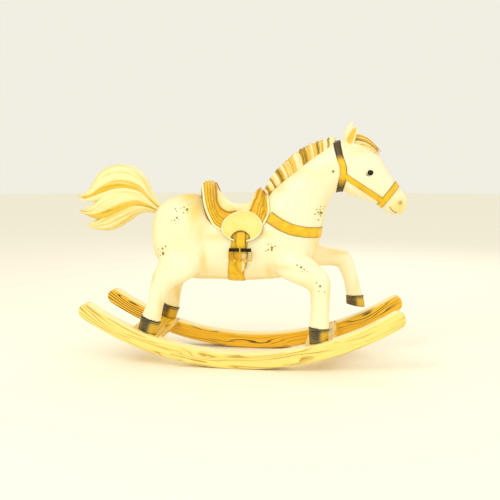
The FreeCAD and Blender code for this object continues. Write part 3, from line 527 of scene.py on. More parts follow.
    @staticmethod
    def build_hide_grain() -> None:
        """Pebbled hide with fine creases."""
        tree, start, end = Bench.group(
            "Hide Grain",
            [("Place", "NodeSocketVector", None), ("Scale", "NodeSocketFloat", 700.0)],
            [("Height", "NodeSocketFloat"), ("Mottle", "NodeSocketFloat")])
        o = start.outputs
        cells = Bench.node(tree, "ShaderNodeTexVoronoi", feature="F1", i_Vector=o["Place"],
                           i_Scale=o["Scale"]).outputs[0]
        creases = Bench.node(tree, "ShaderNodeTexNoise", i_Vector=o["Place"], i_Scale=160.0,
                             i_Detail=4.0, i_Distortion=0.6).outputs[0]
        mottle = Bench.node(tree, "ShaderNodeTexNoise", i_Vector=o["Place"], i_Scale=38.0,
                            i_Detail=4.0).outputs[0]
        height = Bench.math(tree, "ADD", Bench.math(tree, "MULTIPLY", cells, -0.5),
                            Bench.math(tree, "MULTIPLY", creases, 0.8))
        tree.links.new(height, end.inputs["Height"])
        tree.links.new(mottle, end.inputs["Mottle"])

    @staticmethod
    def build_hair_lines() -> None:
        """Fine strands that run along the first axis of the given place."""
        tree, start, end = Bench.group(
            "Hair Lines", [("Strand", "NodeSocketVector", None)],
            [("Mask", "NodeSocketFloat"), ("Height", "NodeSocketFloat")])
        stretched = Bench.node(tree, "ShaderNodeVectorMath", operation="MULTIPLY",
                               i_0=start.outputs["Strand"], i_1=(2.5, 16.0, 1.0)).outputs[0]
        lines = Bench.node(tree, "ShaderNodeTexNoise", i_Vector=stretched, i_Scale=1.0,
                           i_Detail=5.0, i_Roughness=0.65).outputs[0]
        tree.links.new(Bench.ramp(tree, lines, 0.46, 0.66), end.inputs["Mask"])
        tree.links.new(lines, end.inputs["Height"])

    @staticmethod
    def build_handling() -> None:
        """Slow changes of gloss and tone where hands and cloths have been."""
        tree, start, end = Bench.group(
            "Handling",
            [("Place", "NodeSocketVector", None), ("Roughness", "NodeSocketFloat", 0.4),
             ("Spread", "NodeSocketFloat", 0.15)],
            [("Roughness", "NodeSocketFloat"), ("Mask", "NodeSocketFloat")])
        o = start.outputs
        smears = Bench.node(tree, "ShaderNodeTexNoise", i_Vector=o["Place"], i_Scale=22.0,
                            i_Detail=5.0, i_Roughness=0.6).outputs[0]
        centred = Bench.math(tree, "SUBTRACT", smears, 0.5)
        rough = Bench.math(tree, "ADD", o["Roughness"],
                           Bench.math(tree, "MULTIPLY", centred, o["Spread"]))
        tree.links.new(rough, end.inputs["Roughness"])
        tree.links.new(Bench.ramp(tree, smears, 0.45, 0.7), end.inputs["Mask"])


# ------------------------------------------------------------------ finishes
class Finish:
    """A finish that is mixed once and then used on many pieces."""

    mixed: dict["Finish", bpy.types.Material] = {}
    label: str

    def paint(self, tree: bpy.types.NodeTree, shader: bpy.types.Node) -> None:
        """Connect the finish's own nodes to the shader.

        Args:
            tree: The material's nodes.
            shader: Its Principled shader.
        """
        raise NotImplementedError

    def material(self) -> bpy.types.Material:
        """Mix the material on first use and return it."""
        if self not in Finish.mixed:
            mat = bpy.data.materials.new(self.label)
            mat.use_nodes = True
            self.paint(mat.node_tree, mat.node_tree.nodes["Principled BSDF"])
            Finish.mixed[self] = mat
        return Finish.mixed[self]

    def dress(self, obj: bpy.types.Object) -> None:
        """Put the finish on a whole object."""
        obj.data.materials.clear()
        obj.data.materials.append(self.material())

    @staticmethod
    def place(tree: bpy.types.NodeTree) -> bpy.types.NodeSocket:
        """The point of the surface in the frame's axes."""
        return tree.nodes.new("ShaderNodeTexCoord").outputs["Object"]

    @staticmethod
    def value(tree: bpy.types.NodeTree, name: str, kind: str = "Fac") -> bpy.types.NodeSocket:
        """A stored per-point note."""
        return Bench.node(tree, "ShaderNodeAttribute", attribute_name=name).outputs[kind]

    @staticmethod
    def bump(tree: bpy.types.NodeTree, shader: bpy.types.Node, height: object, strength: float,
             distance: float) -> None:
        """Feed a height to the shader's normal.

        Args:
            tree: The material's nodes.
            shader: Its Principled shader.
            height: The height socket.
            strength: Share of the full relief.
            distance: Relief in metres.
        """
        node = Bench.node(tree, "ShaderNodeBump", i_Height=height, i_Strength=strength,
                          i_Distance=distance)
        tree.links.new(node.outputs[0], shader.inputs["Normal"])


@dataclass(frozen=True)
class PaintedCarving(Finish):
    """Cream enamel brushed over gesso, with gold painted shade in the hollows and round the
    outline.
    """

    label: str = "cream enamel"
    base: tuple = tint(253, 245, 208)
    warm: tuple = tint(247, 206, 66)
    roughness: float = 0.42

    def paint(self, tree: bpy.types.NodeTree, shader: bpy.types.Node) -> None:
        """Connect brush marks, painted shade and gloss."""
        place = self.place(tree)
        marks = Bench.use(tree, "Brush Marks", Place=place, Base=self.base, Warm=self.warm,
                          Warmth=self.value(tree, "warmth"))
        # painted shade: gold where the surface turns away from the view, round the outline
        edge = tree.nodes.new("ShaderNodeLayerWeight")
        edge.inputs[0].default_value = 0.5
        painted_shade = Bench.math(tree, "MULTIPLY", Bench.ramp(tree, edge.outputs["Facing"], 0.52, 0.98),
                           0.62)
        rim_shaded = Bench.blend(tree, painted_shade, marks.outputs["Color"], self.warm)
        lines = Bench.blend(tree, self.value(tree, "line"), rim_shaded, tint(104, 74, 14))
        tree.links.new(lines, shader.inputs["Base Color"])
        hand = Bench.use(tree, "Handling", Place=place, Roughness=self.roughness)
        tree.links.new(hand.outputs["Roughness"], shader.inputs["Roughness"])
        shader.inputs["Coat Weight"].default_value = 0.15
        shader.inputs["Coat Roughness"].default_value = 0.25
        self.bump(tree, shader, marks.outputs["Height"], 0.25, 0.0004)


@dataclass(frozen=True)
class BareWood(Finish):
    """Oiled or stained wood with wavy growth lines, and a painted highlight where noted."""

    label: str
    pale: tuple
    gold: tuple
    dark: tuple
    lines: float = 90.0
    waviness: float = 3.0
    dark_share: float = 0.4
    noted: bool = True
    roughness: float = 0.38

    def paint(self, tree: bpy.types.NodeTree, shader: bpy.types.Node) -> None:
        """Connect grain, the painted highlight and gloss."""
        spot = self.place(tree)
        along = self.value(tree, "grain", "Vector") if self.noted else spot
        wood = Bench.use(tree, "Wood Grain", Place=along, Lines=self.lines,
                         Waviness=self.waviness, Pale=self.pale, Gold=self.gold,
                         Dark=self.dark, Dark_Share=self.dark_share)
        # painted highlight: pale cream where noted, on the bows' top faces
        wear_and_highlight = Bench.blend(tree, self.value(tree, "pale"), wood.outputs["Color"],
                             tint(255, 240, 172))
        tree.links.new(wear_and_highlight, shader.inputs["Base Color"])
        hand = Bench.use(tree, "Handling", Place=spot, Roughness=self.roughness)
        tree.links.new(hand.outputs["Roughness"], shader.inputs["Roughness"])
        shader.inputs["Coat Weight"].default_value = 0.2
        shader.inputs["Coat Roughness"].default_value = 0.2
        self.bump(tree, shader, wood.outputs["Height"], 0.3, 0.0004)


@dataclass(frozen=True)
class Hide(Finish):
    """Dyed leather that is darker along its cut edges, with painted shade in its creases and by
    its seams and a painted highlight where noted.
    """

    label: str
    base: tuple
    deep: tuple
    edge: tuple
    roughness: float = 0.5
    grain: float = 650.0

    def paint(self, tree: bpy.types.NodeTree, shader: bpy.types.Node) -> None:
        """Connect hide grain, dye, painted shade, painted highlight and burnished edges."""
        spot = self.place(tree)
        hide = Bench.use(tree, "Hide Grain", Place=spot, Scale=self.grain)
        mottle = Bench.ramp(tree, hide.outputs["Mottle"], 0.4, 0.7)
        dyed = Bench.blend(tree, Bench.math(tree, "MULTIPLY", mottle, 0.55), self.base,
                           self.deep)
        # painted shade: the deep colour where noted
        shaded = Bench.blend(tree, self.value(tree, "warmth"), dyed, self.deep)
        # painted highlight: pale cream where noted
        highlighted = Bench.blend(tree, self.value(tree, "pale"), shaded, tint(255, 248, 206))
        edged = Bench.blend(tree, self.value(tree, "line"), highlighted, self.edge)
        tree.links.new(edged, shader.inputs["Base Color"])
        hand = Bench.use(tree, "Handling", Place=spot, Roughness=self.roughness, Spread=0.25)
        tree.links.new(hand.outputs["Roughness"], shader.inputs["Roughness"])
        shader.inputs["Sheen Weight"].default_value = 0.1
        self.bump(tree, shader, hide.outputs["Height"], 0.35, 0.0005)


@dataclass(frozen=True)
class Hair(Finish):
    """Carved and painted locks: pale strands over gold, with dark roots."""

    label: str
    pale: tuple
    gold: tuple
    dark: tuple

    def paint(self, tree: bpy.types.NodeTree, shader: bpy.types.Node) -> None:
        """Connect strands and the three tones."""
        lines = Bench.use(tree, "Hair Lines", Strand=self.value(tree, "strand", "Vector"))
        tone = self.value(tree, "tone")
        picked = Bench.math(tree, "ADD", tone, Bench.math(
            tree, "MULTIPLY", Bench.math(tree, "SUBTRACT", lines.outputs["Mask"], 0.4), 0.42))
        gold = Bench.blend(tree, Bench.ramp(tree, picked, 0.0, 0.55), self.pale, self.gold)
        dark = Bench.blend(tree, Bench.ramp(tree, picked, 0.6, 1.0), gold, self.dark)
        tree.links.new(dark, shader.inputs["Base Color"])
        hand = Bench.use(tree, "Handling", Place=self.place(tree), Roughness=0.48)
        tree.links.new(hand.outputs["Roughness"], shader.inputs["Roughness"])
        shader.inputs["Anisotropic"].default_value = 0.3
        self.bump(tree, shader, lines.outputs["Height"], 0.6, 0.0010)


@dataclass(frozen=True)
class HoofLacquer(Finish):
    """Dark olive lacquer with gold showing through, and a gold painted highlight on its front."""

    label: str = "hoof lacquer"

    def paint(self, tree: bpy.types.NodeTree, shader: bpy.types.Node) -> None:
        """Connect lacquer, rubbed gold, the painted highlight and growth rings."""
        spot = self.place(tree)
        hand = Bench.use(tree, "Handling", Place=spot, Roughness=0.32, Spread=0.3)
        rings = Bench.node(tree, "ShaderNodeTexNoise", i_Vector=Bench.node(
            tree, "ShaderNodeVectorMath", operation="MULTIPLY", i_0=spot,
            i_1=(26.0, 26.0, 210.0)).outputs[0], i_Scale=1.0, i_Detail=3.0).outputs[0]
        base = Bench.blend(tree, Bench.ramp(tree, rings, 0.35, 0.65), tint(52, 42, 8),
                           tint(98, 80, 14))
        wear_and_highlight = Bench.math(tree, "MULTIPLY", hand.outputs["Mask"], 0.75)
        gold = Bench.blend(tree, wear_and_highlight, base, tint(150, 122, 20))
        # painted highlight: gold where noted, on the front of the hoof
        gold = Bench.blend(tree, self.value(tree, "warmth"), gold, tint(226, 182, 30))
        edged = Bench.blend(tree, self.value(tree, "line"), gold, tint(30, 22, 4))
        tree.links.new(edged, shader.inputs["Base Color"])
        tree.links.new(hand.outputs["Roughness"], shader.inputs["Roughness"])
        shader.inputs["Coat Weight"].default_value = 0.4
        shader.inputs["Coat Roughness"].default_value = 0.15
        self.bump(tree, shader, rings, 0.3, 0.0006)


@dataclass(frozen=True)
class Metal(Finish):
    """Cast or drawn metal with brushed and tarnished places."""

    label: str
    base: tuple
    tarnish: tuple
    metallic: float = 1.0
    roughness: float = 0.28

    def paint(self, tree: bpy.types.NodeTree, shader: bpy.types.Node) -> None:
        """Connect tarnish and scratches."""
        spot = self.place(tree)
        hand = Bench.use(tree, "Handling", Place=spot, Roughness=self.roughness, Spread=0.3)
        tone = Bench.blend(tree, Bench.math(tree, "MULTIPLY", hand.outputs["Mask"], 0.6),
                           self.base, self.tarnish)
        tree.links.new(tone, shader.inputs["Base Color"])
        tree.links.new(hand.outputs["Roughness"], shader.inputs["Roughness"])
        shader.inputs["Metallic"].default_value = self.metallic
        scratches = Bench.node(tree, "ShaderNodeTexNoise", i_Vector=Bench.node(
            tree, "ShaderNodeVectorMath", operation="MULTIPLY", i_0=spot,
            i_1=(150.0, 1600.0, 1600.0)).outputs[0], i_Scale=1.0, i_Detail=2.0).outputs[0]
        self.bump(tree, shader, scratches, 0.25, 0.0002)


@dataclass(frozen=True)
class EyeGlass(Finish):
    """Black blown glass with the faintest brown depth."""

    label: str = "eye glass"

    def paint(self, tree: bpy.types.NodeTree, shader: bpy.types.Node) -> None:
        """Connect depth and a hard gloss."""
        spot = self.place(tree)
        hand = Bench.use(tree, "Handling", Place=spot, Roughness=0.05, Spread=0.04)
        tone = Bench.blend(tree, Bench.math(tree, "MULTIPLY", hand.outputs["Mask"], 0.4),
                           tint(6, 5, 3), tint(22, 14, 5))
        tree.links.new(tone, shader.inputs["Base Color"])
        tree.links.new(hand.outputs["Roughness"], shader.inputs["Roughness"])
        shader.inputs["Specular IOR Level"].default_value = 0.25
        shader.inputs["Coat Weight"].default_value = 0.25
        shader.inputs["Coat Roughness"].default_value = 0.02


CREAM = PaintedCarving()
PALE_WOOD = BareWood("pale oiled wood", tint(255, 232, 130), tint(226, 170, 40),
                     tint(150, 112, 20), lines=62.0, waviness=8.0, dark_share=0.45)
# painted shade: the far bow is the same wood as the near bow, coloured darker
SHADED_GOLD_WOOD = BareWood("gold wood in painted shade", tint(246, 192, 24), tint(206, 142, 8),
                     tint(36, 24, 4), lines=95.0, waviness=8.0, dark_share=1.0)
SLAT_WOOD = BareWood("gold slat wood", tint(244, 200, 48), tint(206, 150, 22),
                     tint(92, 62, 8), lines=70.0, waviness=6.0, dark_share=0.5)
DOWEL_WOOD = BareWood("dowel wood", tint(250, 226, 150), tint(222, 180, 84),
                      tint(150, 112, 40), noted=False)
SADDLE_HIDE = Hide("saddle leather", tint(248, 200, 16), tint(220, 158, 2), tint(92, 60, 2))
STRAP_HIDE = Hide("strap leather", tint(248, 200, 14), tint(222, 162, 2), tint(50, 36, 2))
SEAT_HIDE = Hide("seat leather", tint(253, 240, 184), tint(247, 220, 122), tint(196, 150, 30),
                 grain=520.0)
FLAP_HIDE = Hide("flap leather", tint(253, 232, 142), tint(247, 220, 104), tint(120, 86, 10))
PIPING_HIDE = Hide("piping leather", tint(255, 246, 204), tint(250, 226, 130),
                   tint(140, 100, 14))
TAIL_HAIR = Hair("tail hair", tint(253, 240, 178), tint(238, 196, 40), tint(150, 120, 14))
MANE_HAIR = Hair("mane hair", tint(254, 243, 196), tint(236, 188, 30), tint(92, 72, 8))
HOOF = HoofLacquer()
BRASS = Metal("brass", tint(232, 186, 64), tint(150, 108, 24))
BLACK_IRON = Metal("black roller", tint(22, 20, 10), tint(52, 44, 14), metallic=0.6,
                   roughness=0.3)
STEEL = Metal("steel", tint(170, 170, 168), tint(110, 104, 96))
GLASS = EyeGlass()


# ------------------------------------------------------------------ the carving
TRUNK: list[Section] = [
    ((-28.0, 45.6), (-28.0, 38.6), 2.8, 0), ((-26.2, 50.5), (-26.2, 32.4), 7.0, 0),
    ((-21.5, 53.6), (-21.5, 28.2), 9.2, 0), ((-14.0, 54.8), (-14.0, 26.4), 10.2, 0),
    ((-6.0, 52.4), (-6.0, 26.4), 9.8, 0), ((2.0, 48.8), (2.0, 26.2), 9.0, 0),
    ((9.0, 50.0), (9.0, 26.6), 9.2, 0), ((16.0, 52.0), (16.0, 27.4), 9.4, 0),
    ((22.5, 51.0), (22.5, 30.4), 8.2, 0), ((26.4, 46.0), (26.4, 34.4), 4.8, 0),
]
NECK: list[Section] = [
    ((9.0, 47.0), (26.8, 35.8), 8.9, 0), ((9.8, 51.4), (27.8, 38.9), 8.8, 0),
    ((11.6, 55.4), (28.5, 42.0), 8.2, 0), ((15.0, 58.6), (28.9, 45.6), 7.1, 0),
    ((19.0, 61.8), (29.8, 50.0), 6.0, 0), ((24.0, 65.8), (31.2, 53.4), 5.3, 0),
    ((28.6, 69.0), (32.8, 55.6), 4.9, 0), ((33.8, 72.2), (35.0, 56.0), 4.9, 0),
    ((39.0, 71.8), (37.6, 54.8), 5.6, 0), ((43.4, 69.8), (40.6, 53.9), 5.8, 0),
    ((47.0, 66.8), (43.8, 53.0), 5.2, 0), ((50.0, 62.0), (46.6, 51.6), 4.2, 0),
    ((53.0, 57.6), (49.4, 49.6), 3.4, 0), ((55.2, 55.0), (52.4, 48.4), 2.7, 0),
    ((56.1, 53.4), (54.3, 48.8), 1.8, 0),
]
HIND_LEG: list[Section] = [
    ((-23.0, 39.0), (-9.4, 37.0), 4.2, 4.6), ((-24.8, 32.6), (-10.4, 30.4), 4.6, 6.8),
    ((-26.2, 28.4), (-14.2, 27.0), 4.2, 8.4), ((-26.8, 24.4), (-19.2, 24.4), 3.0, 10.0),
    ((-27.2, 20.6), (-21.6, 20.2), 2.2, 11.5), ((-28.9, 15.7), (-22.8, 13.6), 2.4, 12.8),
]
FORE_LEG: list[Section] = [
    ((18.4, 39.0), (11.8, 31.4), 4.4, 4.8), ((23.6, 36.6), (16.8, 28.0), 4.2, 7.2),
    ((28.4, 33.0), (21.8, 26.4), 3.6, 9.2), ((32.0, 28.4), (25.4, 24.8), 3.0, 11.0),
    ((32.0, 21.0), (26.0, 20.6), 2.3, 12.2), ((32.0, 13.0), (25.7, 13.6), 2.4, 12.8),
]
RAISED_LEG: list[Section] = [
    ((21.0, 42.0), (18.6, 31.4), 4.2, 4.8), ((26.4, 38.4), (24.4, 30.2), 3.3, 7.4),
    ((31.4, 36.8), (30.4, 30.4), 2.6, 8.6), ((36.6, 35.4), (33.4, 30.0), 2.5, 9.0),
    ((39.0, 31.4), (34.4, 28.4), 2.2, 9.0), ((40.4, 26.6), (35.6, 25.4), 2.0, 9.0),
    ((42.2, 20.5), (36.6, 20.3), 2.2, 9.0),
]


def loft_rings(sections: Sequence[Section], sign: int, steps: int, around: int) -> np.ndarray:
    """Draw oval rings through pattern sections.

    Args:
        sections: Top, bottom, half width and Y of each section, in squares.
        sign: Side of the horse that the Y values are on.
        steps: Number of rings.
        around: Points in each ring.

    Returns:
        Rings by points by three, in metres.
    """
    rows = [(*top, *low, half, sign * y) for top, low, half, y in sections]
    line = smooth_line(rows, steps) * SQUARE
    turn = full_turn(around)
    middle = (line[:, 0:2] + line[:, 2:4]) / 2
    reach = (line[:, 0:2] - line[:, 2:4]) / 2
    x = middle[:, 0, None] + reach[:, 0, None] * np.cos(turn)
    z = middle[:, 1, None] + reach[:, 1, None] * np.cos(turn)
    y = line[:, 5, None] + line[:, 4, None] * np.sin(turn)
    return np.stack([x, y, z], 2)


@dataclass
class Carving:
    """The carved and painted horse: trunk, neck, head and legs as one smooth form."""

    voxel: float = 0.0036
    nodes: tuple[str, ...] = (
        "body_rear_block", "body_front_block", "body_top_plank", "body_bottom_plank",
        "body_right_side", "body_left_side", "neck_block", "head_block", "right_hind_leg",
        "left_hind_leg", "right_fore_leg", "left_fore_leg")
    # swells and hollows seen from the side: x, z, radius, rise, all mm, on both sides
    side_strokes: tuple[tuple[float, float, float, float], ...] = (
        (386, 596, 34, 5.0), (352, 566, 16, -2.0), (410, 566, 16, -1.5), (474, 590, 18, -2.0),
        (465, 640, 22, -1.5), (533, 528, 11, 3.0), (536, 525, 5.5, -7.5), (500, 487, 12, 3.0),
        (214, 425, 52, 5.0), (150, 355, 30, -2.5), (262, 470, 26, -2.5), (240, 560, 30, -2.0),
        (-150, 440, 70, 4.0), (-84, 378, 26, -4.0), (-200, 350, 34, 3.0), (-130, 330, 26, 2.5),
        (-246, 262, 14, 2.5), (-238, 232, 12, -1.5), (290, 268, 16, 2.5), (290, 236, 14, -1.2),
        (372, 330, 16, 2.5), (388, 282, 12, -1.0))
    # the same, but moving the outline too
    outline_strokes: tuple[tuple[float, float, float, float], ...] = (
        (529, 484, 6, -5.0), (502, 478, 11, 3.0), (550, 506, 12, 2.5), (470, 520, 12, -2.0))
    # painted gold shade seen from the side: x, z, reach along, reach up, strength
    painted_shade: tuple[tuple[float, float, float, float, float], ...] = (
        (-138, 545, 50, 26, 0.75), (-120, 500, 30, 60, 0.60), (-96, 440, 24, 46, 0.38),
        (-60, 415, 60, 16, 0.35), (100, 425, 40, 14, 0.35), (534, 512, 24, 30, 0.50),
        (496, 482, 20, 12, 0.85), (520, 560, 14, 22, 0.15), (150, 470, 26, 30, 0.20),
        (-262, 285, 12, 22, 0.65), (-92, 330, 12, 46, 0.45), (120, 300, 10, 26, 0.40),
        (-226, 190, 8, 40, 0.40), (-284, 190, 8, 40, 0.20), (20, 268, 180, 9, 0.40),
        (318, 240, 8, 60, 0.30), (262, 235, 7, 50, 0.22), (230, 620, 60, 20, 0.22),
        (150, 570, 30, 24, 0.30), (300, 470, 12, 60, 0.30), (270, 400, 14, 30, 0.35),
        (345, 350, 44, 8, 0.30), (400, 240, 8, 40, 0.25), (342, 590, 10, 40, 0.20),
        (405, 690, 40, 14, 0.25), (-262, 440, 10, 90, 0.22), (170, 320, 40, 10, 0.3))

    def build(self) -> bpy.types.Object:
        """Carve the horse and dress it.

        Returns:
            The carved form.
        """
        forms = [(TRUNK, 0, 60, 64), (NECK, 0, 80, 56), (HIND_LEG, -1, 40, 40),
                 (HIND_LEG, 1, 40, 40), (FORE_LEG, -1, 40, 40), (RAISED_LEG, 1, 44, 36)]
        heap = Heap()
        for sections, sign, steps, around in forms:
            heap.tube(loft_rings(sections, sign, steps, around))
        obj = heap.finish("carved_horse")
        remesh = obj.modifiers.new("blank", "REMESH")
        remesh.mode = "VOXEL"
        remesh.voxel_size = self.voxel
        apply_modifiers(obj)
        self.sand(obj)
        self.model(obj)
        self.colour(obj)
        obj.data.polygons.foreach_set("use_smooth", [True] * len(obj.data.polygons))
        obj.data.update()
        CREAM.dress(obj)
        settle(obj, "painted_wood", *self.nodes)
        return obj

    @staticmethod
    def relax(co: np.ndarray, edges: np.ndarray, rounds: int, pull: float,
              share: Optional[np.ndarray] = None) -> np.ndarray:
        """Average each point with its neighbours.

        Args:
            co: The points.
            edges: Pairs of neighbouring points.
            rounds: How many times.
            pull: How far towards the neighbours' middle.
            share: A further factor for each point.

        Returns:
            The moved points.
        """
        total = len(co)
        ends = np.concatenate([edges[:, 0], edges[:, 1]])
        others = np.concatenate([edges[:, 1], edges[:, 0]])
        degree = np.maximum(np.bincount(ends, minlength=total), 1)[:, None]
        factor = pull if share is None else pull * share[:, None]
        for _ in range(rounds):
            mean = np.stack([np.bincount(ends, weights=co[others, k], minlength=total)
                             for k in range(3)], 1) / degree
            co = co + factor * (mean - co)
        return co

    def sand(self, obj: bpy.types.Object) -> None:
        """Soften the joints between the forms, then smooth everything without shrinking."""
        co = points_of(obj)
        edges = np.empty(len(obj.data.edges) * 2, np.int64)
        obj.data.edges.foreach_get("vertices", edges)
        edges = edges.reshape(-1, 2)
        joints = np.array([
            (-0.100, 0.075, 0.330), (-0.235, 0.060, 0.345), (-0.170, 0.115, 0.330),
            (-0.160, 0.045, 0.275), (0.118, 0.060, 0.345), (0.225, 0.060, 0.372),
            (0.165, 0.110, 0.360), (0.190, 0.040, 0.285), (0.270, 0.065, 0.350)])
        joints = np.vstack([joints, joints * (1, -1, 1)])
        near = np.zeros(len(co))
        for spot in joints:
            near = np.maximum(near, bell(np.linalg.norm(co - spot, axis=1), 0.040))
        for spot, radius in (((0.10, 0.53), 0.05), ((0.275, 0.38), 0.05), ((0.33, 0.56), 0.035)):
            away = np.hypot(co[:, 0] - spot[0], co[:, 2] - spot[1])
            near = np.maximum(near, bell(away, radius))
        co = self.relax(co, edges, 60, 0.6, near)
        for _ in range(7):
            co = self.relax(co, edges, 1, 0.6)
            co = self.relax(co, edges, 1, -0.62)
        set_points(obj, self.relax(co, edges, 2, 0.4))

    def model(self, obj: bpy.types.Object) -> None:
        """Raise the muscles and cut the nostrils, mouth, eye sockets and creases."""
        co = points_of(obj)
        normals = normals_of(obj)
        facing = np.clip((np.abs(normals[:, 1]) - 0.15) / 0.5, 0, 1)
        rise = np.zeros(len(co))
        for x, z, radius, amount in self.side_strokes:
            away = np.hypot(co[:, 0] - x * MM, co[:, 2] - z * MM)
            rise += amount * MM * bell(away, radius * MM) * facing
        eye = np.hypot(co[:, 0] - 0.439, co[:, 2] - 0.620)
        rise += (-6.0 * MM * bell(eye, 0.0125) + 2.2 * MM * bell(eye - 0.0165, 0.004)) * facing
        for x, z, radius, amount in self.outline_strokes:
            away = np.hypot(co[:, 0] - x * MM, co[:, 2] - z * MM)
            rise += amount * MM * bell(away, radius * MM)
        for path, width, depth in self.cuts():
            away = self.away_from_line(co[:, [0, 2]], path)
            rise -= depth * bell(away, width) * facing
        middle = bell(co[:, 1], 0.008) * (co[:, 0] > 0.24) * (co[:, 2] < 0.47)
        middle = middle * (co[:, 2] > 0.34) * np.clip(normals[:, 0], 0, 1)
        rise -= 0.004 * middle
        set_points(obj, co + normals * rise[:, None])

    @staticmethod
    def cuts() -> list[tuple[np.ndarray, float, float]]:
        """Grooves seen from the side.

        Returns:
            Line, width and depth of each groove, in metres.
        """
        mouth = smooth_line([(503, 511), (508, 503), (516, 496), (525, 491)], 20) * MM
        jaw = smooth_line([(343, 575), (352, 556), (372, 548)], 16) * MM
        flank = smooth_line([(-96, 430), (-84, 385), (-86, 345), (-98, 310)], 24) * MM
        elbow = smooth_line([(128, 372), (132, 335), (142, 306)], 16) * MM
        shoulder = smooth_line([(178, 520), (206, 478), (236, 440), (262, 410)], 24) * MM
        return [(mouth, 0.0024, 0.0034), (jaw, 0.006, 0.0016), (flank, 0.010, 0.0030),
                (elbow, 0.008, 0.0024), (shoulder, 0.012, 0.0020)]

    @staticmethod
    def away_from_line(flat: np.ndarray, path: np.ndarray) -> np.ndarray:
        """Distance of flat points from a line.

        Args:
            flat: Points seen from the side.
            path: Points of the line.

        Returns:
            A distance for each point.
        """
        best = np.full(len(flat), 9.0)
        for a, b in zip(path, path[1:]):
            run = b - a
            t = np.clip(((flat - a) @ run) / (run @ run), 0, 1)
            best = np.minimum(best, np.linalg.norm(flat - a - t[:, None] * run, axis=1))
        return best

    def colour(self, obj: bpy.types.Object) -> None:
        """Note where the gold painted shade lies and where dark lines are painted."""
        co = points_of(obj)
        warm = np.zeros(len(co))
        # painted shade: gold in the hollows, behind the saddle, under the belly, at muzzle and
        # chin and behind the legs
        for x, z, along, up, strength in self.painted_shade:
            away = np.hypot((co[:, 0] - x * MM) / (along * MM), (co[:, 2] - z * MM) / (up * MM))
            warm = np.maximum(warm, strength * np.exp(-away ** 2))
        note(obj, "warmth", np.clip(1.15 * warm, 0, 1))
        nostril = np.hypot(co[:, 0] - 0.536, co[:, 2] - 0.525)
        note(obj, "line", 0.62 * bell(nostril, 0.0066))


class Skin:
    """Finds the carved surface, for everything that lies on it."""

    def __init__(self, obj: bpy.types.Object) -> None:
        """Read the surface.

        Args:
            obj: The carved form.
        """
        self.tree = BVHTree.FromObject(obj, bpy.context.evaluated_depsgraph_get())

    def towards(self, origin: Sequence[float], outward: Sequence[float],
                inner: bool = True) -> tuple[np.ndarray, np.ndarray]:
        """Follow a ray to the surface.

        Args:
            origin: Point inside the form.
            outward: Direction from it to the outside.
            inner: Whether the ray starts inside and stops at the first skin it meets, or
                comes in from outside.

        Returns:
            The surface point and its outward normal.
        """
        o = Vector(origin)
        d = Vector(outward).normalized()
        if inner:
            hit, normal, _, _ = self.tree.ray_cast(o, d, 0.30)
        else:
            hit, normal, _, _ = self.tree.ray_cast(o + d * 0.35, -d, 0.50)
        if hit is None:
            hit, normal, _, _ = self.tree.find_nearest(o + d * 0.02)
        if normal.dot(d) < 0:
            normal = -normal
        return np.array(hit), np.array(normal)

    def side(self, x: float, z: float, sign: int) -> tuple[np.ndarray, np.ndarray]:
        """Surface point straight across at a point of the side view.

        Args:
            x: Along the horse.
            z: Height.
            sign: Side of the horse.

        Returns:
            The surface point and its outward normal.
        """
        return self.towards((x, 0.0, z), (0.0, sign, 0.0), inner=False)


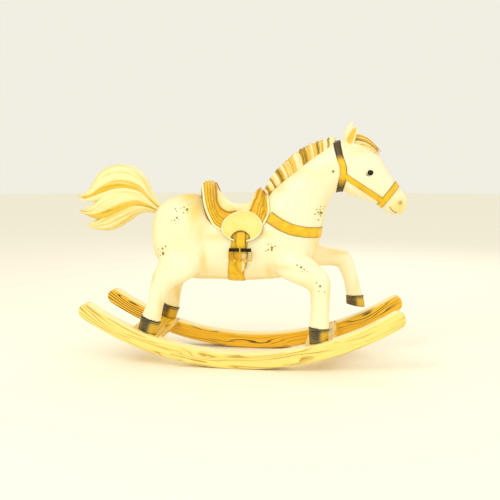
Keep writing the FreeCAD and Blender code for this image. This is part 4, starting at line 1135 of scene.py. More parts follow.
# ------------------------------------------------------------------ rockers, slats, hooves
@dataclass
class Undercarriage:
    """Bows, cross slats and hooves."""

    radius: float = 0.955
    depth: float = 0.052
    thickness: float = 0.050
    sweep: float = math.radians(32.4)
    spacing: float = 0.290
    centre_x: float = 0.032
    rest_flat: float = 0.080
    edge_round: float = 0.008
    slat_width: float = 0.096
    slat_thickness: float = 0.018
    slat_length: float = 0.300
    slat_proud: float = 0.0015
    hind_foot: float = -0.272
    fore_foot: float = 0.288
    foot_y: float = 0.128
    sole: tuple[float, float] = (0.031, 0.025)
    # the far, left bow takes the darker copy of the wood as painted shade
    finishes: dict[Side, tuple[BareWood, str]] = field(default_factory=lambda: {
        Side.RIGHT: (PALE_WOOD, "pale_wood"), Side.LEFT: (SHADED_GOLD_WOOD, "golden_wood")})

    @property
    def centre_z(self) -> float:
        """Height of the bows' arc centre, after the rest is planed flat."""
        return math.sqrt(self.radius ** 2 - (self.rest_flat / 2) ** 2)

    def on_bow(self, radius: float, angle: float) -> np.ndarray:
        """Point of the side view at a radius and angle from the lowest point."""
        return np.array([self.centre_x + radius * math.sin(angle), 0.0,
                         self.centre_z - radius * math.cos(angle)])

    def build(self) -> None:
        """Make every piece under the horse."""
        for side in Side:
            self.bow(side)
        for name, foot in (("rear_cross_slat", self.hind_foot),
                           ("front_cross_slat", self.fore_foot)):
            self.slat(name, foot)
        self.standing_hoof("right_hind_hoof", HIND_LEG[-1], self.hind_foot, -1)
        self.standing_hoof("left_hind_hoof", HIND_LEG[-1], self.hind_foot, 1)
        self.standing_hoof("right_fore_hoof", FORE_LEG[-1], self.fore_foot, -1)
        self.raised_hoof()

    def bow(self, side: Side) -> None:
        """Make one bow with eased edges and rounded ends.

        Args:
            side: Side of the horse.
        """
        half, mid = self.depth / 2, self.radius - self.depth / 2
        profile = self.rounded_profile(self.thickness / 2, half, self.edge_round)
        stations = [(-self.sweep, -half * math.sin(a), math.cos(a))
                    for a in np.linspace(math.pi / 2 * 0.97, 0, 10, endpoint=False)]
        stations += [(a, 0.0, 1.0) for a in np.linspace(-self.sweep, self.sweep, 150)]
        stations += [(self.sweep, half * math.sin(a), math.cos(a))
                     for a in np.linspace(0, math.pi / 2 * 0.97, 11)[1:]]
        rings, grain, pale = [], [], []
        y0 = side.value * self.spacing / 2
        for angle, beyond, shrink in stations:
            ahead = np.array([math.cos(angle), 0.0, math.sin(angle)])
            inward = np.array([-math.sin(angle), 0.0, math.cos(angle)])
            middle = self.on_bow(mid, angle) + ahead * beyond
            wide = profile[:, 0] * (0.80 + 0.20 * math.sqrt(shrink))
            tall = profile[:, 1] * max(shrink, 0.05)
            ring = middle + np.outer(tall, inward)
            ring[:, 1] = y0 + wide
            ring[:, 2] = np.maximum(ring[:, 2], 0.0)
            rings.append(ring)
            # painted highlight: the bow's top face is noted paler
            pale.append(0.8 * np.clip((tall / half - 0.80) / 0.15, 0, 1))
            along = np.full(len(profile), mid * angle + beyond)
            grain.append(np.stack([along, tall, wide + 0.2 * side.value], 1))
        heap = Heap()
        heap.tube(np.array(rings), grain=np.array(grain), pale=np.array(pale))
        obj = heap.finish(f"{side.word}_bow")
        finish, slot = self.finishes[side]
        finish.dress(obj)
        settle(obj, slot, f"{side.word}_rocker")

    @staticmethod
    def rounded_profile(half_wide: float, half_tall: float, corner: float) -> np.ndarray:
        """Points round a rectangle with rounded corners.

        Args:
            half_wide: Half its width.
            half_tall: Half its height.
            corner: Corner radius.

        Returns:
            Points as rows of width and height.
        """
        points = []
        for quarter, (sx, sz) in enumerate(((1, 1), (-1, 1), (-1, -1), (1, -1))):
            for step in np.linspace(0, math.pi / 2, 7):
                a = quarter * math.pi / 2 + step
                points.append((sx * (half_wide - corner) + corner * math.cos(a),
                               sz * (half_tall - corner) + corner * math.sin(a)))
            nxt = ((-1, 1), (-1, -1), (1, -1), (1, 1))[quarter]
            here, there = np.array(points[-1]), np.array(
                (nxt[0] * (half_wide - corner) + corner * math.cos(a),
                 nxt[1] * (half_tall - corner) + corner * math.sin(a)))
            for share in (0.25, 0.5, 0.75):
                points.append(tuple(here + (there - here) * share))
        return np.array(points)

    def slat_axes(self, foot: float) -> tuple[np.ndarray, np.ndarray, np.ndarray]:
        """Where one cross slat lies.

        Args:
            foot: Place of the hooves along the horse.

        Returns:
            Middle of its top face, its direction along the horse, and its up.
        """
        radius = self.radius - self.depth - self.slat_proud
        angle = math.asin((foot - self.centre_x) / radius)
        along = np.array([math.cos(angle), 0.0, math.sin(angle)])
        up = np.array([-math.sin(angle), 0.0, math.cos(angle)])
        return self.on_bow(radius, angle), along, up

    def slat(self, name: str, foot: float) -> None:
        """Make one cross slat with eased edges.

        Args:
            name: CAD node that it stands for.
            foot: Place of the hooves along the horse.
        """
        top, along, up = self.slat_axes(foot)
        profile = self.rounded_profile(self.slat_width / 2, self.slat_thickness / 2, 0.003)
        rings, grain = [], []
        for y in np.linspace(-self.slat_length / 2, self.slat_length / 2, 40):
            ring = (top - up * self.slat_thickness / 2 + np.outer(profile[:, 0], along)
                    + np.outer(profile[:, 1], up))
            ring[:, 1] = y
            rings.append(ring)
            grain.append(np.stack([np.full(len(profile), y), profile[:, 0],
                                   profile[:, 1]], 1))
        heap = Heap()
        heap.tube(np.array(rings), grain=np.array(grain))
        obj = heap.finish(name.replace("cross_slat", "tie_slat"))
        SLAT_WOOD.dress(obj)
        settle(obj, "slat_wood", name)

    def hoof(self, name: str, rings: list[np.ndarray]) -> None:
        """Make one hoof from its coronet ring and its sole ring.

        Args:
            name: CAD node that it stands for.
            rings: The two rings, from the top down.
        """
        top, low = rings
        made, lines, front_highlight = [], [], []
        swell = ((0.0, -0.06, 0.0), (0.0, 0.05, 1.0), (0.04, 0.085, 0.4), (0.10, 0.085, 0.2),
                 (0.15, 0.03, 0.9), (0.22, 0.035, 0.2), (0.40, 0.045, 0.0), (0.60, 0.035, 0.0),
                 (0.80, 0.02, 0.0), (0.93, 0.01, 0.2), (0.985, 0.0, 0.6), (1.0, -0.035, 1.0))
        for t, grow, dark in swell:
            ring = top + (low - top) * t
            middle = ring.mean(0)
            made.append(middle + (ring - middle) * (1 + grow))
            lines.append(np.full(len(ring), dark))
            ahead = (ring[:, 0] - middle[0]) / max(np.ptp(ring[:, 0]) / 2, 1e-6)
            # painted highlight: gold towards the front of the hoof
            front_highlight.append(0.9 * np.clip((ahead - 0.05) / 0.30, 0, 1) * min(1.0, t * 8))
        heap = Heap()
        heap.tube(np.array(made), line=np.array(lines), warmth=np.array(front_highlight))
        obj = heap.finish(name.replace("_hoof", "_carved_hoof"))
        HOOF.dress(obj)
        settle(obj, "hoof_paint", name)

    @staticmethod
    def leg_end(section: Section, sign: int, around: int = 40) -> np.ndarray:
        """Ring at the end of a leg.

        Args:
            section: The leg's last pattern section.
            sign: Side of the horse.
            around: Points in the ring.

        Returns:
            The ring's points.
        """
        return loft_rings([section, section], sign, 2, around)[0]

    def standing_hoof(self, name: str, section: Section, foot: float, sign: int) -> None:
        """Make a hoof that stands on its slat.

        Args:
            name: CAD node that it stands for.
            section: The leg's last pattern section.
            foot: Place of the sole along the horse.
            sign: Side of the horse.
        """
        top, along, _ = self.slat_axes(foot)
        ring = self.leg_end(section, sign)
        turn = full_turn(len(ring))
        facing = 1.0 if (ring[0] - ring[len(ring) // 2]) @ along > 0 else -1.0
        low = (top + np.outer(np.cos(turn) * self.sole[0] * facing, along)
               + np.outer(np.sin(turn) * self.sole[1], (0, 1, 0)))
        low[:, 1] += sign * self.foot_y
        self.hoof(name, [ring, low])

    def raised_hoof(self) -> None:
        """Make the lifted fore hoof."""
        low = self.leg_end(((42.9, 16.5), (36.6, 17.6), 2.4, 9.0), 1)
        self.hoof("left_fore_hoof", [self.leg_end(RAISED_LEG[-1], 1), low])


# ------------------------------------------------------------------ hair
@dataclass
class HairWork:
    """Ears, standing mane, forelock and flowing tail."""

    seed: int = 7
    around: int = 14
    tips: tuple[Point2, ...] = ((-558, 540), (-552, 494), (-528, 444))

    def lock(self, heap: Heap, path: np.ndarray, width: np.ndarray, thick: np.ndarray,
             tone: float, lobes: int, phase: float, across: Sequence[float] = (0, 1, 0)) -> None:
        """Add one tapered lock with a fluted surface.

        Args:
            heap: Where to add it.
            path: Its middle line.
            width: Its full width at each point of the line.
            thick: Its full thickness at each point of the line.
            tone: Its tone, from pale 0 to dark 1.
            lobes: Number of flutes round it.
            phase: Turn of the flutes.
            across: Direction of its thickness.
        """
        ahead = np.gradient(path, axis=0)
        ahead /= np.linalg.norm(ahead, axis=1, keepdims=True)
        flat = np.cross(ahead, np.array(across, float))
        flat /= np.linalg.norm(flat, axis=1, keepdims=True)
        deep = np.cross(flat, ahead)
        turn = full_turn(self.around)
        flute = np.cos(lobes * turn + phase)
        swell = 1 + 0.10 * flute
        rings = (path[:, None]
                 + (width[:, None] / 2 * np.cos(turn) * swell)[:, :, None] * flat[:, None]
                 + (thick[:, None] / 2 * np.sin(turn) * swell)[:, :, None] * deep[:, None])
        run = np.linspace(0, 1, len(path))[:, None]
        root = 0.45 * np.clip(1 - run / 0.22, 0, 1) * (tone > 0.2)
        # painted shade: each lock is darker in the hollows of its flutes
        tones = np.clip(tone + 0.30 * np.clip(-flute, 0, 1) + root, 0, 1)
        strand = np.stack([np.broadcast_to(run + phase, rings.shape[:2]),
                           np.broadcast_to(turn / 2 + phase * 3, rings.shape[:2]),
                           np.full(rings.shape[:2], phase)], 2)
        heap.tube(rings, tone=tones, strand=strand)

    def build(self) -> None:
        """Make all the hair and the ears."""
        self.mane()
        self.forelock()
        self.tail()
        for side in Side:
            self.ear(side)

    def tail(self) -> None:
        """Make the tail as locks that fan out from the dock and end in three tips."""
        rng = random.Random(self.seed)
        top = smooth_line([(-244, 492), (-268, 520), (-290, 552), (-317, 598), (-354, 625),
                           (-392, 634), (-431, 627), (-459, 608), (-487, 577), (-522, 549),
                           (-558, 541)], 60) * MM
        low = smooth_line([(-246, 478), (-280, 488), (-318, 490), (-348, 480), (-385, 455),
                           (-430, 430), (-475, 423), (-510, 430), (-532, 440)], 60) * MM
        heap = Heap()
        run = np.linspace(0, 1, 60)
        body = np.clip(np.sin(np.pi * np.clip(run * 0.92 + 0.06, 0, 1)), 0, 1) ** 0.8
        gap = np.linalg.norm(top - low, axis=1)
        for layer, count in ((-1, 9), (1, 9), (0, 10)):
            for k in range(count):
                f = (k + 0.5) / count
                wave = 0.006 * np.sin(run * 5 + k * 1.3)
                flat = top * (1 - f) + low * f
                tip = self.tips[0 if f < 0.42 else 1 if f < 0.74 else 2]
                goal = np.array(tip) * MM + (rng.uniform(-3, 5) * MM, rng.uniform(-5, 5) * MM)
                pull = np.clip((run - 0.50) / 0.50, 0, 1) ** 2
                flat = flat + pull[:, None] * (goal - flat[-1])
                end = rng.uniform(0.95, 1.0)
                keep = max(int(60 * end), 20)
                path = np.stack([flat[:, 0], 0.019 * layer * body * (1 - 1.2 * abs(f - 0.5) ** 2)
                                 + wave * 0.5 * body, flat[:, 1] + wave * body * 0.6], 1)[:keep]
                share = np.linspace(0, 1, keep)
                taper = np.clip((1 - share) / 0.30, 0, 1) ** 0.75
                start = np.clip(share / 0.10, 0, 1) ** 0.5
                width = np.maximum(gap[:keep] / count * 1.9 * taper * (0.7 + 0.3 * start), 0.0012)
                thick = np.maximum(0.030 * body[:keep] * taper ** 0.5 + 0.004 * taper, 0.0012)
                tone = rng.choice((0.0, 0.05, 0.12, 0.28))
                if k in (2, 6) and layer:
                    tone = 0.45
                self.lock(heap, path, width, thick, tone, rng.choice((5, 6, 7)),
                          rng.uniform(0, 6))
        obj = heap.finish("tail_locks")
        TAIL_HAIR.dress(obj)
        settle(obj, "tail_hair", "tail_hair")

    def mane(self) -> None:
        """Make the standing mane as rows of clipped tufts across the crest."""
        rng = random.Random(self.seed + 1)
        root = smooth_line([(104, 542), (128, 560), (160, 586), (196, 612), (238, 642),
                            (276, 666), (314, 688)], 200) * MM
        top = smooth_line([(96, 566), (117, 609), (143, 638), (166, 662), (199, 690), (231, 709),
                           (263, 722), (296, 731), (326, 738)], 200) * MM
        heap = Heap()
        count = 38
        for k in range(count):
            at = (k + 0.5) / count
            for row in (-1, 0, 1):
                u = min(max(at + rng.uniform(-0.2, 0.2) / count, 0.0), 1.0)
                a, b = root[int(u * 199)], top[int(u * 199)]
                up = (b - a) / np.linalg.norm(b - a)
                back = np.array([up[1], -up[0]])
                share = np.linspace(0, 1, 14)
                bow = np.sin(share * math.pi) * 0.0050
                tall = 1 - 0.04 * abs(row) - rng.uniform(0, 0.05)
                line = (a - up * 0.016 + np.outer(share, (b - a) * tall + up * 0.016)
                        + np.outer(bow, back))
                y = row * (0.0105 - 0.0035 * share)
                path = np.stack([line[:, 0], y, line[:, 1]], 1)
                taper = np.clip((1.0 - share) / 0.16, 0.0, 1) ** 0.6
                width = np.maximum(0.0135 * (0.85 + 0.25 * share) * taper, 0.001)
                thick = np.maximum(0.0135 * (1 - 0.2 * share) * taper, 0.001)
                tone = rng.choice((0.0, 0.12, 0.28, 0.45, 0.52))
                if k in (1, 5, 9, 10, 22, 23, 24) or (k > 26 and k % 5 == 0):
                    tone = 0.85
                self.lock(heap, path, width, thick, tone, 5, rng.uniform(0, 6))
        obj = heap.finish("mane_tufts")
        co = points_of(obj)
        edge = Carving.away_from_line(co[:, [0, 2]], root)
        tones = np.empty(len(co), np.float32)
        obj.data.attributes["tone"].data.foreach_get("value", tones)
        tones = np.clip(tones + 0.8 * bell(edge, 0.004), 0, 1)
        obj.data.attributes["tone"].data.foreach_set("value", tones.astype(np.float32))
        MANE_HAIR.dress(obj)
        settle(obj, "mane_hair", "mane")

    def forelock(self) -> None:
        """Make the forelock that lifts off the brow."""
        rng = random.Random(self.seed + 2)
        top = smooth_line([(366, 722), (392, 738), (424, 729), (452, 707), (480, 681)], 40) * MM
        low = smooth_line([(366, 708), (392, 706), (424, 702), (452, 688), (476, 668)], 40) * MM
        heap = Heap()
        share = np.linspace(0, 1, 40)
        for k in range(6):
            f = k / 5
            for row in (-1, 1):
                flat = top * (1 - f) + low * f
                y = row * 0.0075 * (1 - 0.6 * share) + 0.002 * np.sin(share * 4 + k)
                keep = 40 - rng.randint(0, 5) - 2 * (k % 2)
                path = np.stack([flat[:, 0], y, flat[:, 1]], 1)[:keep]
                t = np.linspace(0, 1, keep)
                taper = np.clip((1 - t) / 0.45, 0, 1) ** 0.8
                tone = (0.55, 0.3, 0.75, 0.1, 0.35, 0.0)[k]
                self.lock(heap, path, np.maximum(0.0095 * taper, 0.001),
                          np.maximum(0.016 * taper, 0.001), tone, 5, rng.uniform(0, 6))
        obj = heap.finish("forelock_locks")
        MANE_HAIR.dress(obj)
        settle(obj, "mane_hair", "forelock")

    def ear(self, side: Side) -> None:
        """Make one cupped ear.

        Args:
            side: Side of the horse.
        """
        lean = side is Side.LEFT
        base = np.array([0.356 if lean else 0.367, side.value * 0.029, 0.708 if lean else 0.698])
        tip = np.array([0.379 if lean else 0.396, side.value * 0.031, 0.786 if lean else 0.771])
        up = (tip - base) / np.linalg.norm(tip - base)
        opening = np.array([0.42, side.value * 0.90, 0.0])
        opening -= up * (opening @ up)
        opening /= np.linalg.norm(opening)
        wide = np.cross(up, opening)
        share = np.linspace(0, 1, 30)
        half = np.interp(share, (0, 0.12, 0.30, 0.50, 0.70, 0.86, 0.96, 1.0),
                         (11, 12.5, 14.5, 14, 10.5, 5.8, 2.2, 0.6)) * MM
        deep = np.interp(share, (0, 0.3, 0.7, 1.0), (12, 10, 6, 0.6)) * MM
        cup = np.interp(share, (0, 0.14, 0.30, 0.75, 0.95, 1.0), (0, 0.05, 1, 0.85, 0.3, 0))
        turn = full_turn(36)
        rings, warm, lines = [], [], []
        for t, h, d, c in zip(share, half, deep, cup):
            front = np.sin(turn) > 0
            lift = np.where(front, d * np.sin(turn) * (0.55 - 1.15 * c), d * np.sin(turn))
            bow = 0.004 * math.sin(t * math.pi)
            ring = (base + (tip - base) * t + np.outer(h * np.cos(turn), wide)
                    + np.outer(lift - bow, opening))
            rings.append(ring)
            inner = front * np.clip(np.sin(turn) * 4.0 - 2.3, 0, 1) * c
            warm.append(np.clip(inner * 1.2, 0, 1))
            # painted shade: a faint darkening deepest in the cup
            lines.append(np.where(front, 0.22 * inner * np.clip(np.sin(turn) - 0.7, 0, 1), 0))
        heap = Heap()
        heap.tube(np.array(rings), warmth=np.array(warm), line=np.array(lines))
        obj = heap.finish(f"{side.word}_cupped_ear")
        CREAM.dress(obj)
        settle(obj, "painted_wood", f"{side.word}_ear")


# ------------------------------------------------------------------ straps
@dataclass
class Strap:
    """A flat strap that lies on the carving, with creased and burnished edges."""

    name: str
    width: float
    thickness: float
    nodes: tuple[str, ...]
    slot: str = "strap_leather"
    lift: float = 0.0
    edge_dark: float = 0.85

    # half width share, height share and darkness of the strap's profile
    PROFILE = ((-1.0, -0.30, 1.0), (-1.0, 0.45, 1.0), (-0.95, 0.88, 0.75), (-0.86, 1.0, 0.20),
               (-0.78, 0.84, 0.32), (-0.70, 1.0, 0.05), (-0.35, 1.04, 0.0), (0.0, 1.05, 0.0),
               (0.35, 1.04, 0.0), (0.70, 1.0, 0.05), (0.78, 0.84, 0.32), (0.86, 1.0, 0.20),
               (0.95, 0.88, 0.75), (1.0, 0.45, 1.0), (1.0, -0.30, 1.0))

    def lay(self, spots: Callable[[float, float], tuple[np.ndarray, np.ndarray]], stations: int,
            closed: bool, shade: Optional[Callable[[float], float]] = None,
            narrow: Optional[Callable[[float], float]] = None,
            lift: Optional[Callable[[float], float]] = None,
            shine: Optional[Callable[[float], float]] = None) -> bpy.types.Object:
        """Lay the strap over its route.

        Args:
            spots: Surface point and normal at a share of the length and of the half width.
            stations: Number of rows along the strap.
            closed: Whether the strap is a loop.
            shade: Extra darkness along the strap.
            narrow: Width factor along the strap.
            lift: Height of its underside along the strap.
            shine: Strength of a painted highlight, a pale stripe along the strap.

        Returns:
            The strap.
        """
        shares = np.linspace(0, 1, stations, endpoint=not closed)
        base, normal = [], []
        for t in shares:
            row = [spots(t, v * (narrow(t) if narrow else 1.0)) for v, _, _ in self.PROFILE]
            base.append([p for p, _ in row])
            normal.append([n for _, n in row])
        base, normal = np.array(base), np.array(normal)
        normal = self.even(normal, closed)
        base = self.even(base, closed, 0.5)
        normal /= np.linalg.norm(normal, axis=2, keepdims=True)
        heights = np.array([h for _, h, _ in self.PROFILE]) * self.thickness
        under = np.array([lift(t) if lift else self.lift for t in shares])
        top = base + normal * (heights[None, :, None] + under[:, None, None])
        low = base[:, ::-1] + normal[:, ::-1] * (under[:, None, None] - 0.3 * self.thickness)
        low = low[:, 1:-1:3]
        rings = np.concatenate([top, low], 1)
        dark = np.array([d for _, _, d in self.PROFILE]) * self.edge_dark
        lines = np.concatenate([np.tile(dark, (stations, 1)),
                                np.full((stations, low.shape[1]), self.edge_dark)], 1)
        if shade:
            extra = np.array([shade(t) for t in shares])[:, None]
            lines = np.clip(lines + extra, 0, 1)
        # painted highlight: a pale stripe beside the middle of the strap's top
        pale = np.zeros(lines.shape)
        if shine:
            stripe = bell(np.array([v for v, _, _ in self.PROFILE]) - 0.45, 0.24)
            pale[:, :len(stripe)] = np.outer([shine(t) for t in shares], stripe)
        heap = Heap()
        if closed:
            rows, cols = rings.shape[:2]
            heap.add(rings.reshape(-1, 3), strip_faces(rows, cols, True, True),
                     line=lines.ravel(), pale=pale.ravel())
        else:
            heap.tube(rings, line=lines, pale=pale)
        obj = heap.finish(self.name)
        STRAP_HIDE.dress(obj)
        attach(obj, "horse")
        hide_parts(*self.nodes)
        return obj

    @staticmethod
    def even(grid: np.ndarray, closed: bool, pull: float = 0.7) -> np.ndarray:
        """Even out a grid of values along the strap.

        Args:
            grid: Rows along the strap.
            closed: Whether the rows are a loop.
            pull: Strength of one round.

        Returns:
            The evened grid.
        """
        for _ in range(4):
            before, after = np.roll(grid, 1, 0), np.roll(grid, -1, 0)
            mean = (before + after) / 2
            if not closed:
                mean[0], mean[-1] = grid[0], grid[-1]
            grid = grid + pull * (mean - grid)
        return grid


@dataclass
class Tack:
    """Girth, breast strap, bridle and billets."""

    skin: Skin
    strap: float = 0.020
    thickness: float = 0.0036

    def build(self) -> None:
        """Lay every strap."""
        self.girth()
        self.breast()
        self.crown()
        self.noseband()
        for side in Side:
            self.cheek(side)
            self.billet(side)

    def loop(self, centre: Sequence[float], up: Sequence[float], across: Sequence[float],
             width: float, sway: Optional[Callable[[float], float]] = None
             ) -> Callable[[float, float], tuple[np.ndarray, np.ndarray]]:
        """Route of a strap round the carving in one plane.

        Args:
            centre: Point inside the carving.
            up: Upward direction in the plane.
            across: Direction across the strap.
            width: Strap width.
            sway: Shift of the strap across its plane, by its angle from up.

        Returns:
            A function of the share of the turn and of the half width.
        """
        c, u, a = (np.array(v, float) for v in (centre, up, across))
        u, a = u / np.linalg.norm(u), a / np.linalg.norm(a)

        def spot(t: float, v: float) -> tuple[np.ndarray, np.ndarray]:
            """Surface point at one place of the strap."""
            angle = 2 * math.pi * t
            outward = u * math.cos(angle) + np.array([0.0, -math.sin(angle), 0.0])
            shift = sway(angle) if sway else 0.0
            return self.skin.towards(c + a * (v * width / 2 + shift), outward)

        return spot

    def girth(self) -> None:
        """Lay the girth round the belly, up under the saddle."""
        strap = Strap("girth", 0.054, self.thickness, ("girth_strap",), edge_dark=0.45)
        whole = self.loop((0.022, 0, 0.36), (0.16, 0, 1), (1, 0, -0.16), strap.width)
        strap.lay(lambda t, v: whole(0.155 + 0.69 * t, v), 90, False)

    def breast(self) -> None:
        """Lay the breast strap from saddle to saddle round the chest."""
        xs = (0.100, 0.120, 0.156, 0.197, 0.244, 0.281, 0.320)
        zs = (0.497, 0.4795, 0.4565, 0.4395, 0.4300, 0.4275, 0.4275)
        strap = Strap("breast_band", 0.034, self.thickness, ("breast_strap",))

        def spot(t: float, v: float) -> tuple[np.ndarray, np.ndarray]:
            """Surface point at one place of the strap."""
            angle = math.radians(-112 + 224 * t)
            outward = (math.cos(angle), math.sin(angle), 0.0)
            z = 0.43
            for _ in range(4):
                hit, _ = self.skin.towards((0.150, 0.0, z), outward)
                z = float(np.interp(hit[0], xs, zs))
            slope = abs(math.sin(angle)) * 0.45
            place, normal = self.skin.towards(
                (0.150 + slope * v * strap.width / 2, 0.0,
                 z + v * strap.width / 2), outward)
            return place, normal

        strap.lay(spot, 90, False)

    def crown(self) -> None:
        """Lay the strap that goes over the poll and under the throat."""
        strap = Strap("crown_piece", 0.0225, self.thickness, ("crown_strap",))
        angles = np.radians((0, 25, 60, 90, 120, 155, 180))
        shifts = np.array((-13, -10, -1, 9, 10, -1, -7)) * MM

        def sway(angle: float) -> float:
            """Shift of the strap by its angle from the top."""
            folded = min(angle % (2 * math.pi), 2 * math.pi - angle % (2 * math.pi))
            return float(np.interp(folded, angles, shifts))

        def shade(t: float) -> float:
            """Dark at the poll and at the throat, gold beside the cheek."""
            height = math.cos(2 * math.pi * t)
            return 0.95 * float(np.clip((height - 0.35) / 0.3, 0, 1)
                                + np.clip((-height - 0.62) / 0.3, 0, 1))

        route = self.loop((0.346, 0, 0.640), (-0.02, 0, 1), (1, 0, 0.02), strap.width, sway)
        strap.lay(route, 110, True, shade=shade)

    def noseband(self) -> None:
        """Lay the noseband."""
        strap = Strap("nose_band", self.strap, self.thickness, ("noseband",))
        route = self.loop((0.501, 0, 0.553), (7, 0, 9), (9, 0, -7), strap.width)
        strap.lay(route, 80, True)

    def cheek(self, side: Side) -> None:
        """Lay one cheek strap from the crown to the noseband.

        Args:
            side: Side of the horse.
        """
        strap = Strap(f"{side.word}_cheek_piece", 0.0175, self.thickness * 0.9,
                      (f"{side.word}_cheek_strap",), edge_dark=0.6)
        start, end = np.array((0.352, 0.6155)), np.array((0.480, 0.5310))
        run = (end - start) / np.linalg.norm(end - start)
        across = np.array((-run[1], run[0]))

        def spot(t: float, v: float) -> tuple[np.ndarray, np.ndarray]:
            """Surface point at one place of the strap."""
            x, z = start + (end - start) * t + across * v * strap.width / 2
            return self.skin.side(x, z, side.value)

        strap.lay(spot, 40, False)

    def billet(self, side: Side) -> None:
        """Lay one billet from under the flap to its rounded tongue.

        Args:
            side: Side of the horse.
        """
        strap = Strap(f"{side.word}_billet_strap", 0.046, 0.0040, (f"{side.word}_billet",))
        low, high, x0 = 0.3045, 0.476, 0.032

        def spot(t: float, v: float) -> tuple[np.ndarray, np.ndarray]:
            """Surface point at one place of the strap."""
            z = high + (low - high) * t
            return self.skin.side(x0 + v * strap.width / 2, z, side.value)

        def narrow(t: float) -> float:
            """Slim above the buckle, then a wide tongue that tapers to a rounded tip."""
            left = (1 - t) * (high - low)
            wide = float(np.interp(left, (0.0, 0.020, 0.050, 0.062, 0.072),
                                   (0.62, 0.74, 1, 1, 0.72)))
            return wide * math.sqrt(max(0.02, 1 - max(0.0, 1 - left / 0.018) ** 2))

        # painted highlight: a pale stripe down the tongue below the buckle
        strap.lay(spot, 130, False, narrow=narrow, lift=lambda t: 0.0060,
                  shine=lambda t: float(np.clip((t - 0.64) / 0.05, 0, 1)))
        keeper = Strap(f"{side.word}_billet_keeper", 0.074, 0.0022, (), edge_dark=0.8)

        def under(t: float, v: float) -> tuple[np.ndarray, np.ndarray]:
            """Surface point at one place of the plate behind the flap's slot."""
            z = 0.4400 - 0.0370 * t
            return self.skin.side(x0 + v * keeper.width / 2, z, side.value)

        keeper.lay(under, 24, False, lift=lambda t: 0.0042,
                   narrow=lambda t: 1 - 0.25 * max(0.0, t - 0.6) / 0.4)


